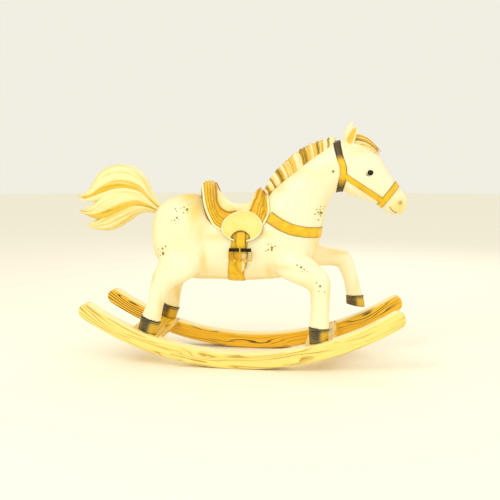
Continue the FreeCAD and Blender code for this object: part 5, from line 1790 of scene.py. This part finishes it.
# ------------------------------------------------------------------ saddle
@dataclass
class Saddle:
    """Ridged skirt with cantle and pommel, stuffed seat, piping and lifting flaps."""

    skin: Skin
    band_rear: float = 0.047
    band_front: float = 0.054
    band_side: float = 0.076
    skirt: float = 0.0060
    axis_z: float = 0.400
    turns: int = 220
    rings: int = 64
    rim: tuple[Point2, ...] = (
        (-0.1045, 0.528), (-0.0985, 0.514), (-0.0900, 0.490), (-0.0790, 0.470),
        (-0.0620, 0.452), (-0.0420, 0.438), (-0.0080, 0.4285), (0.0260, 0.426),
        (0.0600, 0.4285), (0.0850, 0.436), (0.1060, 0.453), (0.1190, 0.478), (0.1230, 0.502))
    moon: float = 0.0330
    leaf_bend: float = 0.4560
    rear_x: float = -0.1150
    front_x: float = 0.1130
    top_line: tuple[Point2, ...] = (
        (-119, 566), (-113, 582), (-104, 590), (-92, 592), (-79, 591), (-68, 584), (-60, 560),
        (-44, 530), (-20, 514), (9, 508), (37, 511), (51, 520), (61, 535), (66, 554), (74, 565),
        (84, 571), (96, 568), (106, 552), (113, 536))

    def build(self) -> None:
        """Make the saddle."""
        self.survey()
        self.leather()
        self.seat()
        self.piping()
        for side in Side:
            self.flap(side)

    def survey(self) -> None:
        """Find where each point of the saddle lies on the carving."""
        right = []
        for x, z in self.rim:
            hit, _ = self.skin.side(x, z, -1)
            right.append((x, math.atan2(hit[1], hit[2] - self.axis_z)))
        left = [(x, -turn) for x, turn in reversed(right)]
        loop = [(self.rear_x, 0.0)] + right + [(self.front_x, 0.0)] + left
        scaled = [(x, turn * 0.1) for x, turn in loop]
        edge = smooth_line(scaled, self.turns, closed=True)
        edge[:, 1] *= 10
        centre = np.array((0.002, 0.0))
        shares = np.linspace(0, 1, self.rings)
        self.plan = edge[None] + (centre - edge)[None] * shares[:, None, None]
        base = np.empty((self.rings, self.turns, 3))
        normal = np.empty_like(base)
        for i in range(self.rings):
            for j in range(self.turns):
                x, turn = self.plan[i, j]
                base[i, j], normal[i, j] = self.skin.towards(
                    (x, 0.0, self.axis_z), (0.0, math.sin(turn), math.cos(turn)))
        step = np.linalg.norm(np.diff(base, axis=0), axis=2)
        self.inset = np.vstack([np.zeros(self.turns), np.cumsum(step, 0)])
        self.base, self.normal = base, normal
        low = np.clip((np.abs(edge[:, 1]) - math.radians(38)) / math.radians(40), 0, 1)
        ahead = np.clip((edge[:, 0] + 0.02) / 0.08, 0, 1)
        ends = self.band_rear * (1 - ahead) + self.band_front * ahead
        self.band = ends * (1 - low) + self.band_side * low
        xs = np.array([x for x, _ in self.top_line]) * MM
        zs = np.array([z for _, z in self.top_line]) * MM
        spine = [self.skin.towards((x, 0, self.axis_z), (0, 0, 1))[0][2] for x in xs]
        rise = np.maximum(zs - np.array(spine), self.skirt)
        x, turn = self.plan[..., 0], np.abs(self.plan[..., 1])
        tall = np.interp(x, xs, rise)
        reach = np.radians(np.interp(x, (-0.080, -0.030, 0.085, 0.110), (74, 44, 44, 56)))
        fall = np.clip(1 - (turn / reach) ** 2, 0, 1) ** 1.25
        self.extra = (tall - self.skirt) * fall
        up = np.stack([np.zeros_like(turn), 0.45 * np.sin(self.plan[..., 1]),
                       np.cos(self.plan[..., 1])], 2)
        self.up = up / np.linalg.norm(up, axis=2, keepdims=True)

    def surface(self, height: np.ndarray) -> np.ndarray:
        """Points above the carving.

        Args:
            height: Height over the raised form, for each grid point.

        Returns:
            The grid of points.
        """
        return (self.base + self.normal * height[..., None] + self.up * self.extra[..., None])

    def leather(self) -> None:
        """Make the golden skirt with its rows of raised ridges."""
        d = self.inset
        ridges = np.zeros_like(d)
        for middle in (0.0125, 0.0215, 0.0305):
            ridges += 0.0028 * bell(d - middle, 0.0034)
        valley = np.zeros_like(d)
        for middle in (0.0080, 0.0170, 0.0260, 0.0350):
            valley = np.maximum(valley, bell(d - middle, 0.0014))
        roll = -0.0045 * bell(d, 0.0030)
        height = self.skirt + ridges + roll - 0.0012 * valley
        rows = int(np.argmax((d - self.band).min(1) > 0.003)) + 1
        top = self.surface(height)[:rows]
        wall = [self.base[0] - self.normal[0] * 0.001 + self.up[0] * self.extra[0][:, None] * s
                for s in (0.0, 0.35, 0.7)]
        low = self.base[rows - 1] - self.normal[rows - 1] * 0.002
        grid = np.concatenate([np.array(wall), top, low[None]])
        shade = np.clip(valley * 0.60, 0, 1)[:rows]
        dark = np.concatenate([np.full((3, self.turns), 0.85), shade,
                               np.full((1, self.turns), 0.9)])
        inner = 0.6 * bell(d - self.band, 0.003)[:rows]
        dark[3:-1] = np.maximum(dark[3:-1], inner)
        # painted shade: deep gold beside the seat's seam; the walls and a band 38 mm in from the
        # rim take deep gold too
        warm = np.concatenate([np.ones((3, self.turns)),
                               np.maximum(0.6 * bell(d - 0.038, 0.004),
                                          0.5 * bell(d - self.band, 0.012))[:rows],
                               np.ones((1, self.turns))])
        faces = strip_faces(len(grid), self.turns, wrap_cols=True, wrap_rows=True)
        obj = new_mesh("saddle_leather", grid.reshape(-1, 3), faces)
        note(obj, "line", dark.ravel())
        note(obj, "warmth", warm.ravel())
        face_out(obj)
        SADDLE_HIDE.dress(obj)
        settle(obj, "saddle_leather", "saddle_skirt", "cantle", "pommel")

    def seat(self) -> None:
        """Make the stuffed seat and let it swell against its seam."""
        d = self.inset
        gap = d - self.band
        first = int(np.argmax(gap.max(1) > -0.001))
        inner = np.clip(gap / 0.016, 0, 1)
        crown = np.sin(inner * math.pi / 2) ** 0.7
        height = np.where(gap < 0, -0.003, self.skirt * 0.6 + 0.0055 * crown)
        top = self.surface(height)[first:]
        low = (self.base - self.normal * 0.001 + self.up * (self.extra * 0.35)[..., None])[first:]
        rows = len(top)
        grid = np.concatenate([top, low[::-1]]).reshape(-1, 3)
        faces = strip_faces(2 * rows, self.turns, wrap_cols=True, wrap_rows=True)
        obj = new_mesh("seat_pad", grid, faces)
        face_out(obj)
        fine = obj.modifiers.new("skin", "REMESH")
        fine.mode = "VOXEL"
        fine.voxel_size = 0.0045
        apply_modifiers(obj)
        swell(obj, pressure=4.0, cap=0.0045)
        smooth = obj.modifiers.new("soft", "SUBSURF")
        smooth.levels = smooth.render_levels = 1
        apply_modifiers(obj)
        obj.data.polygons.foreach_set("use_smooth", [True] * len(obj.data.polygons))
        co = points_of(obj)
        seam = self.surface(np.full_like(d, self.skirt))
        rim = [seam[int(np.argmax(gap[:, j] > 0)), j] for j in range(self.turns)]
        tree = BVHTree.FromPolygons([tuple(p) for p in rim],
                                    [(j, (j + 1) % self.turns, j) for j in range(self.turns)])
        away = np.array([tree.find_nearest(Vector(p))[3] for p in co])
        note(obj, "line", 0.55 * bell(away, 0.0025))
        # painted shade: the seat turns deeper gold towards its seam
        note(obj, "warmth", np.clip(0.75 * bell(away, 0.018), 0, 1))
        SEAT_HIDE.dress(obj)
        settle(obj, "seat_leather", "seat_cushion")

    def piping(self) -> None:
        """Lay the cream piping along the skirt's edge and the cord along the seat's seam."""
        d = self.inset
        heap = Heap()
        line = self.ring_at(np.full(self.turns, 0.0032), self.skirt * 0.70)
        verts, faces = round_cord(line, 0.0036, 12, closed=True)
        # painted shade: one side of the piping cord is darker
        dark = np.tile(np.clip(np.cos(full_turn(12) - 2.2), 0, 1)
                       * 0.15, len(line))
        heap.add(verts, faces, line=dark, warmth=np.full(len(verts), 0.1))
        obj = heap.finish("skirt_piping")
        PIPING_HIDE.dress(obj)
        settle(obj, "saddle_leather", "saddle_welt")
        heap = Heap()
        line = self.ring_at(self.band - 0.0005, self.skirt + 0.0012)
        verts, faces = round_cord(line, 0.0020, 10, closed=True)
        heap.add(verts, faces, line=np.full(len(verts), 0.25), warmth=np.full(len(verts), 0.8))
        cord = heap.finish("seat_seam_cord")
        SADDLE_HIDE.dress(cord)
        settle(cord, "saddle_leather")
        LOG.info("saddle seam lies %.0f mm in from the rim", d.max() * 1000)

    def ring_at(self, inset: np.ndarray, height: float) -> np.ndarray:
        """Line round the saddle at a distance in from its rim.

        Args:
            inset: Distance in from the rim at each place round it.
            height: Height above the raised form.

        Returns:
            Points of the closed line.
        """
        grid = self.surface(np.full_like(self.inset, height))
        line = []
        for j in range(self.turns):
            line.append([np.interp(inset[j], self.inset[:, j], grid[:, j, k]) for k in range(3)])
        line = np.array(line)
        for _ in range(3):
            line = line * 0.5 + (np.roll(line, 1, 0) + np.roll(line, -1, 0)) * 0.25
        return line

    def flap(self, side: Side) -> None:
        """Make one lifting flap with its bound edge and half-moon slot.

        Args:
            side: Side of the horse.
        """
        cx, cz, rx, rz = 0.035, 0.443, 0.066, 0.0435
        slot_x, slot_half, slot_top = 0.032, 0.0185, 0.4290
        outline = []
        for turn in np.linspace(-math.pi / 2, 1.5 * math.pi, 140, endpoint=False):
            x, z = cx + rx * math.cos(turn), cz + rz * math.sin(turn)
            if not (abs(x - slot_x) < slot_half and z < cz):
                outline.append((x, z))
        start = int(np.argmin([p[1] + (10 if p[0] < slot_x else 0) for p in outline]))
        outline = outline[start:] + outline[:start]
        shoulder = outline[0][1] + 0.0065
        rise = np.linspace(0, math.pi, 30)
        arch = [(slot_x - self.moon * math.cos(a) * (1 - 0.04 * math.sin(a)),
                 shoulder + (slot_top - shoulder) * math.sin(a) ** 0.9) for a in rise]
        arch = ([(slot_x - slot_half - 0.001, shoulder - 0.0025)] + arch
                + [(slot_x + slot_half + 0.001, shoulder - 0.0025)])
        edge = outline + arch
        count = len(edge)
        inside = [(x, z) for x in np.arange(cx - rx, cx + rx, 0.005)
                  for z in np.arange(cz - rz, cz + rz, 0.005)
                  if self.inside(edge, x, z) and self.clearance(edge, x, z) > 0.003]
        loop = [(i, (i + 1) % count) for i in range(count)]
        flat, _, tris, *_ = delaunay_2d_cdt([Vector(p) for p in edge + inside], loop, [], 1, 1e-6)
        flat = [tuple(p) for p in flat]
        own = [self.leaf_spot(x, z, side.value) for x, z in flat]
        base = np.array([p for p, _ in own])
        normal = np.array([n for _, n in own])
        clear = np.array([self.clearance(edge, x, z) for x, z in flat])
        puff = 0.0010 * np.clip(clear / 0.02, 0, 1)
        low = base + normal * 0.0112
        top = low + normal * (0.0036 + puff)[:, None]
        total = len(flat)
        faces: list[tuple[int, ...]] = [tuple(t) for t in tris]
        faces += [tuple(i + total for i in reversed(t)) for t in tris]
        for i, j in loop:
            faces.append((i, j, j + total, i + total))
        obj = new_mesh(f"{side.word}_lifting_flap", np.vstack([top, low]), faces)
        edge_dark = np.concatenate([0.10 * bell(clear, 0.004), np.full(total, 0.9)])
        note(obj, "line", edge_dark)
        # deeper gold in a band about 8 mm in from the edge, and on the underside
        deep_gold_band = np.concatenate([0.35 * bell(clear - 0.008, 0.006), np.ones(total)])
        note(obj, "warmth", deep_gold_band)
        face_out(obj)
        FLAP_HIDE.dress(obj)
        body = f"{side.word}_flap_body"
        settle(obj, "flap_leather", f"{side.word}_flap", body=body)
        rim = (top[:count] + low[:count]) / 2
        split = len(outline)
        self.binding(f"{side.word}_flap_binding", rim[:split], PIPING_HIDE, 0.0027, body, 0.05)
        self.binding(f"{side.word}_slot_binding", rim[split - 1:], FLAP_HIDE, 0.0021, body, 0.95)

    def leaf_spot(self, x: float, z: float, sign: int) -> tuple[np.ndarray, np.ndarray]:
        """Point under the flap: on the carving low down, and straight on towards the hinge.

        Args:
            x: Along the horse.
            z: Height.
            sign: Side of the horse.

        Returns:
            The point and the outward normal there.
        """
        place, normal = self.skin.side(x, min(z, self.leaf_bend), sign)
        above = max(z - self.leaf_bend, 0.0)
        lean = min(normal[2] / max(abs(normal[1]), 0.3), 1.0)
        return place + np.array((0.0, -sign * lean * above, above)), normal

    @staticmethod
    def binding(name: str, path: np.ndarray, finish: Hide, radius: float, body: str,
                dark: float) -> None:
        """Bind an edge with a rolled strip.

        Args:
            name: Name of the piece.
            path: The edge.
            finish: Its leather.
            radius: Radius of the roll.
            body: Body it moves with.
            dark: How dark it is.
        """
        line = smooth_line(path, max(len(path), 24))
        line = np.vstack([line[:1], (line[:-2] + 2 * line[1:-1] + line[2:]) / 4, line[-1:]])
        verts, faces = round_cord(line, radius, 10)
        heap = Heap()
        heap.add(verts, faces, line=np.full(len(verts), dark), warmth=np.zeros(len(verts)))
        obj = heap.finish(name)
        finish.dress(obj)
        settle(obj, "flap_leather", body=body)

    @staticmethod
    def inside(edge: Sequence[Point2], x: float, z: float) -> bool:
        """Whether a point is inside an outline."""
        found = False
        for (x1, z1), (x2, z2) in zip(edge, list(edge[1:]) + [edge[0]]):
            if (z1 > z) != (z2 > z) and x < (x2 - x1) * (z - z1) / (z2 - z1) + x1:
                found = not found
        return found

    @staticmethod
    def clearance(edge: Sequence[Point2], x: float, z: float) -> float:
        """Distance of a point from the nearest corner of an outline."""
        return min(math.hypot(x - a, z - b) for a, b in edge)


def swell(obj: bpy.types.Object, pressure: float, cap: float, frames: int = 20) -> None:
    """Blow a padded form up like cloth over stuffing, and stop it at a limit.

    Args:
        obj: A closed mesh.
        pressure: Pressure of the stuffing.
        cap: The furthest any point may move.
        frames: Steps of the simulation.
    """
    rest = points_of(obj)
    cloth = obj.modifiers.new("stuffing", "CLOTH")
    cloth.settings.use_pressure = True
    cloth.settings.uniform_pressure_force = pressure
    cloth.settings.effector_weights.gravity = 0.0
    cloth.settings.quality = 4
    cloth.collision_settings.use_collision = False
    scene = bpy.context.scene
    for number in range(1, frames + 1):
        scene.frame_set(number)
    apply_modifiers(obj)
    scene.frame_set(1)
    moved = points_of(obj) - rest
    size = np.linalg.norm(moved, axis=1, keepdims=True)
    set_points(obj, rest + moved * np.minimum(1.0, cap / np.maximum(size, 1e-9)))


# ------------------------------------------------------------------ small painted and metal things
@dataclass
class Details:
    """Eyelids, dapple spots and the finishes of the turned and cast pieces."""

    skin: Skin
    buckle_x: float = 0.032
    buckle_half: float = 0.037
    # spots in clusters: x, z and radius, all mm
    spots: tuple[tuple[float, float, float], ...] = (
        (-187, 502, 2.2), (-182, 494, 2.0), (-170, 504, 1.8), (-158, 507, 2.4),
        (-147, 500, 4.0), (-157, 490, 2.4), (-143, 490, 1.8), (-144, 516, 1.6),
        (-135, 519, 1.2), (-197, 464, 1.8), (-186, 466, 2.6), (-178, 474, 3.2),
        (-170, 469, 1.8), (-172, 460, 1.4), (-181, 455, 1.6), (-217, 380, 2.6),
        (-229, 372, 3.2), (-227, 356, 4.8), (-246, 369, 2.0), (-247, 353, 1.6),
        (-238, 348, 2.0), (-252, 362, 1.4), (-239, 362, 1.4), (121, 392, 2.0),
        (132, 393, 1.6), (143, 387, 2.2), (133, 382, 3.8), (132, 374, 3.0), (121, 375, 2.4),
        (113, 371, 2.0), (284, 512, 1.8), (296, 511, 1.6), (272, 502, 2.0), (282, 501, 2.2),
        (292, 503, 1.6), (276, 493, 2.6), (285, 491, 4.2), (267, 488, 2.2), (279, 486, 1.8),
        (284, 481, 2.2), (277, 469, 2.2), (323, 624, 3.6), (216, 330, 2.4), (229, 324, 3.2),
        (239, 317, 2.2), (248, 311, 1.8), (232, 311, 1.6), (279, 279, 2.2), (291, 269, 3.2),
        (305, 250, 2.0), (288, 253, 1.8))

    def build(self) -> None:
        """Make the details."""
        self.dapples()
        for side in Side:
            self.eyelid(side)
            self.mouth(side)
            self.buckle(side)
        self.dress_frame()

    def dapples(self) -> None:
        """Paint the clusters of spots as thin drops of enamel."""
        heap = Heap()
        for side in Side:
            for x, z, radius in self.spots:
                self.spot(heap, x * MM, z * MM, radius * 1.3 * MM, side.value)
        obj = heap.finish("dapple_spots")
        SPOT_PAINT.dress(obj)
        settle(obj, "painted_wood")

    def spot(self, heap: Heap, x: float, z: float, radius: float, sign: int) -> None:
        """Add one drop of paint.

        Args:
            heap: Where to add it.
            x: Along the horse.
            z: Height.
            radius: Its radius.
            sign: Side of the horse.
        """
        crest, around = 0.00055, 14
        rows = ((0.45, 0.0005), (0.85, 0.00035), (1.0, -0.0006))
        turn = full_turn(around)
        centre, normal = self.skin.side(x, z, sign)
        verts = [centre + normal * crest]
        for share, height in rows:
            for a in turn:
                place, n = self.skin.side(x + radius * share * math.cos(a),
                                          z + radius * share * math.sin(a), sign)
                verts.append(place + n * height)
        verts.append(centre - normal * 0.0015)
        faces: list[tuple[int, ...]] = [(0, 1 + i, 1 + (i + 1) % around) for i in range(around)]
        faces += strip_faces(len(rows), around, wrap_cols=True, first=1)
        foot, last = len(verts) - 1, 1 + around * (len(rows) - 1)
        faces += [(foot, last + (i + 1) % around, last + i) for i in range(around)]
        tone = min(1.0, radius / 0.0042)
        heap.add(np.array(verts), faces, warmth=np.full(len(verts), tone),
                 line=np.zeros(len(verts)))

    def eyelid(self, side: Side) -> None:
        """Make the rim of clay round one glass eye.

        Args:
            side: Side of the horse.
        """
        low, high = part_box(f"{side.word}_eye")
        centre = (np.array(low) + np.array(high)) / 2
        radius = (high[0] - low[0]) / 2
        turn = full_turn(48)
        line = []
        for a in turn:
            reach = radius * (1.02 + 0.10 * abs(math.cos(a)))
            x, z = centre[0] + reach * math.cos(a), centre[2] + reach * 0.92 * math.sin(a)
            place, normal = self.skin.side(x, z, side.value)
            line.append(place + normal * 0.0004)
        path = np.array(line)
        verts, faces = round_cord(path, 0.0019, 10, closed=True)
        angle = np.repeat(turn, 10)
        crease = np.clip(np.cos(angle - math.radians(222)) - 0.62, 0, 1) * 2.4
        heap = Heap()
        heap.add(verts, faces, warmth=np.full(len(verts), 0.12), line=np.clip(crease, 0, 0.9))
        obj = heap.finish(f"{side.word}_eyelid")
        CREAM.dress(obj)
        settle(obj, "painted_wood")

    def mouth(self, side: Side) -> None:
        """Paint the line of one side of the mouth.

        Args:
            side: Side of the horse.
        """
        path = [self.skin.side(x, z, side.value)[0] for x, z in Carving.cuts()[0][0]]
        verts, faces = round_cord(smooth_line(path, 40), 0.0010, 8)
        heap = Heap()
        heap.add(verts, faces, line=np.full(len(verts), 0.95))
        obj = heap.finish(f"{side.word}_mouth_line")
        CREAM.dress(obj)
        settle(obj, "painted_wood")

    def buckle(self, side: Side) -> None:
        """Make one wide buckle: a bent wire frame and its two turning roller halves.

        Args:
            side: Side of the horse.
        """
        low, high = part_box(f"{side.word}_buckle_roller")
        axis_y, axis_z = (low[1] + high[1]) / 2, (low[2] + high[2]) / 2
        radius = (high[2] - low[2]) / 2
        heap = Heap()
        turn = full_turn(28)
        half, gap = self.buckle_half, 0.0030
        reach = half - 0.0015 - gap
        shape = ((0.0, 0.62), (0.0, 0.86), (0.02, 0.97), (0.06, 1.0), (0.28, 0.96), (0.34, 0.90),
                 (0.40, 0.96), (0.66, 0.96), (0.72, 0.90), (0.78, 0.96), (0.94, 1.0),
                 (0.98, 0.97), (1.0, 0.86), (1.0, 0.62))
        for hand in (-1, 1):
            rings = [np.stack([np.full(28, self.buckle_x + hand * (gap + reach * t)),
                               axis_y + radius * r * np.cos(turn),
                               axis_z + radius * r * np.sin(turn)], 1) for t, r in shape]
            heap.tube(np.array(rings))
        roller = heap.finish(f"{side.word}_roller_halves")
        BLACK_IRON.dress(roller)
        settle(roller, "roller_black", f"{side.word}_buckle_roller",
               body=f"{side.word}_roller_body")
        base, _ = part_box(f"{side.word}_buckle_frame")
        low_z = base[2] + 0.0024
        low_y = axis_y - side.value * 0.0042
        corners = []
        for sx, sz, start in ((1, 1, 0.0), (-1, 1, 0.5), (-1, -1, 1.0), (1, -1, 1.5)):
            for step in np.linspace(0, 0.5, 6):
                a = math.pi * (start + step)
                x = self.buckle_x + sx * (half - 0.006) + 0.006 * math.cos(a)
                z = (axis_z if sz > 0 else low_z) - sz * 0.006 + 0.006 * math.sin(a)
                corners.append((x, axis_y + (low_y - axis_y) * (axis_z - z) / (axis_z - low_z), z))
        verts, faces = round_cord(smooth_line(corners, 110, closed=True), 0.0023, 12, closed=True)
        heap = Heap()
        heap.add(verts, faces)
        wire = heap.finish(f"{side.word}_wire_frame")
        BRASS.dress(wire)
        settle(wire, "brass", f"{side.word}_buckle_frame")

    @staticmethod
    def dress_frame() -> None:
        """Give every node that stays visible its finish."""
        given: dict[str, Finish] = {
            "slat_screws": BRASS, "hoof_bolts": STEEL, "hoof_washers": STEEL,
            "leg_dowels": DOWEL_WOOD, "neck_dowels": DOWEL_WOOD, "tail_peg": DOWEL_WOOD,
            "buckle_lugs": STRAP_HIDE}
        for side in Side:
            given[f"{side.word}_eye"] = GLASS
            given[f"{side.word}_buckle_prong"] = BRASS
        for name, finish in given.items():
            finish.dress(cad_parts[name])


@dataclass(frozen=True)
class SpotPaint(Finish):
    """Gold and olive drops of enamel, darker in the larger ones."""

    label: str = "spot enamel"

    def paint(self, tree: bpy.types.NodeTree, shader: bpy.types.Node) -> None:
        """Connect the two tones and the gloss."""
        spot = self.place(tree)
        hand = Bench.use(tree, "Handling", Place=spot, Roughness=0.3)
        tone = Bench.blend(tree, self.value(tree, "warmth"), tint(226, 200, 30),
                           tint(150, 124, 4))
        blot = Bench.blend(tree, Bench.math(tree, "MULTIPLY", hand.outputs["Mask"], 0.4), tone,
                           tint(196, 156, 20))
        tree.links.new(blot, shader.inputs["Base Color"])
        tree.links.new(hand.outputs["Roughness"], shader.inputs["Roughness"])


SPOT_PAINT = SpotPaint()


# ------------------------------------------------------------------ studio
@dataclass
class Studio:
    """Pale floor, soft light and the camera."""

    azimuth: float = math.radians(8.7)
    elevation: float = math.radians(6.5)
    distance: float = 2.600
    target: tuple[float, float, float] = (0.048, 0.0, 0.3625)
    lens: float = 56.2

    def build(self) -> None:
        """Set up the studio."""
        self.floor()
        self.light("key", (-1.4, -2.2, 2.6), 1.8, 30.0)
        self.light("fill", (2.4, -1.6, 1.5), 2.2, 11.0)
        self.light("rim", (0.6, 2.4, 2.2), 2.0, 14.0)
        world = bpy.data.worlds.new("studio")
        bpy.context.scene.world = world
        world.use_nodes = True
        world.node_tree.nodes["Background"].inputs[0].default_value = tint(255, 252, 240)
        world.node_tree.nodes["Background"].inputs[1].default_value = 0.88
        bpy.context.scene.view_settings.view_transform = "Standard"
        self.camera()

    @staticmethod
    def floor() -> None:
        """Make the pale floor."""
        turn = full_turn(64)
        verts = [(0.0, 0.0, -0.0004)]
        verts += [(r * math.cos(a), r * math.sin(a), -0.0004) for r in (1.5, 14.0) for a in turn]
        faces: list[tuple[int, ...]] = [(0, 1 + i, 1 + (i + 1) % 64) for i in range(64)]
        faces += [(1 + i, 65 + i, 65 + (i + 1) % 64, 1 + (i + 1) % 64) for i in range(64)]
        obj = new_mesh("studio_floor", np.array(verts), faces)
        mat = bpy.data.materials.new("studio floor")
        mat.use_nodes = True
        shader = mat.node_tree.nodes["Principled BSDF"]
        shader.inputs["Base Color"].default_value = tint(254, 250, 234)
        shader.inputs["Roughness"].default_value = 0.9
        obj.data.materials.append(mat)

    @staticmethod
    def light(name: str, place: tuple[float, float, float], size: float, power: float) -> None:
        """Hang one soft light.

        Args:
            name: Its name.
            place: Where it hangs.
            size: Its width.
            power: Its power.
        """
        lamp = bpy.data.lights.new(name, "AREA")
        lamp.size = size
        lamp.energy = power
        lamp.color = (1.0, 0.985, 0.95)
        obj = bpy.data.objects.new(name, lamp)
        obj.location = place
        towards = Vector((0.0, 0.0, 0.35)) - Vector(place)
        obj.rotation_euler = towards.to_track_quat("-Z", "Y").to_euler()
        bpy.context.scene.collection.objects.link(obj)

    def camera(self) -> None:
        """Place the camera."""
        back = Vector((math.sin(self.azimuth) * math.cos(self.elevation),
                       -math.cos(self.azimuth) * math.cos(self.elevation),
                       math.sin(self.elevation)))
        data = bpy.data.cameras.new("camera")
        data.lens = self.lens
        data.sensor_width = 36.0
        obj = bpy.data.objects.new("camera", data)
        obj.location = Vector(self.target) + back * self.distance
        obj.rotation_euler = back.to_track_quat("Z", "Y").to_euler()
        bpy.context.scene.collection.objects.link(obj)
        bpy.context.scene.camera = obj


def main() -> None:
    """Build the horse's looks in order."""
    logging.basicConfig(level=logging.INFO, format="%(name)s: %(message)s")
    Bench.build_all()
    horse = Carving().build()
    LOG.info("carving has %d points", len(horse.data.vertices))
    skin = Skin(horse)
    for part in (Undercarriage(), HairWork(), Saddle(skin), Tack(skin), Details(skin), Studio()):
        part.build()
        LOG.info("%s done", type(part).__name__)


if __name__ == "__main__":
    main()
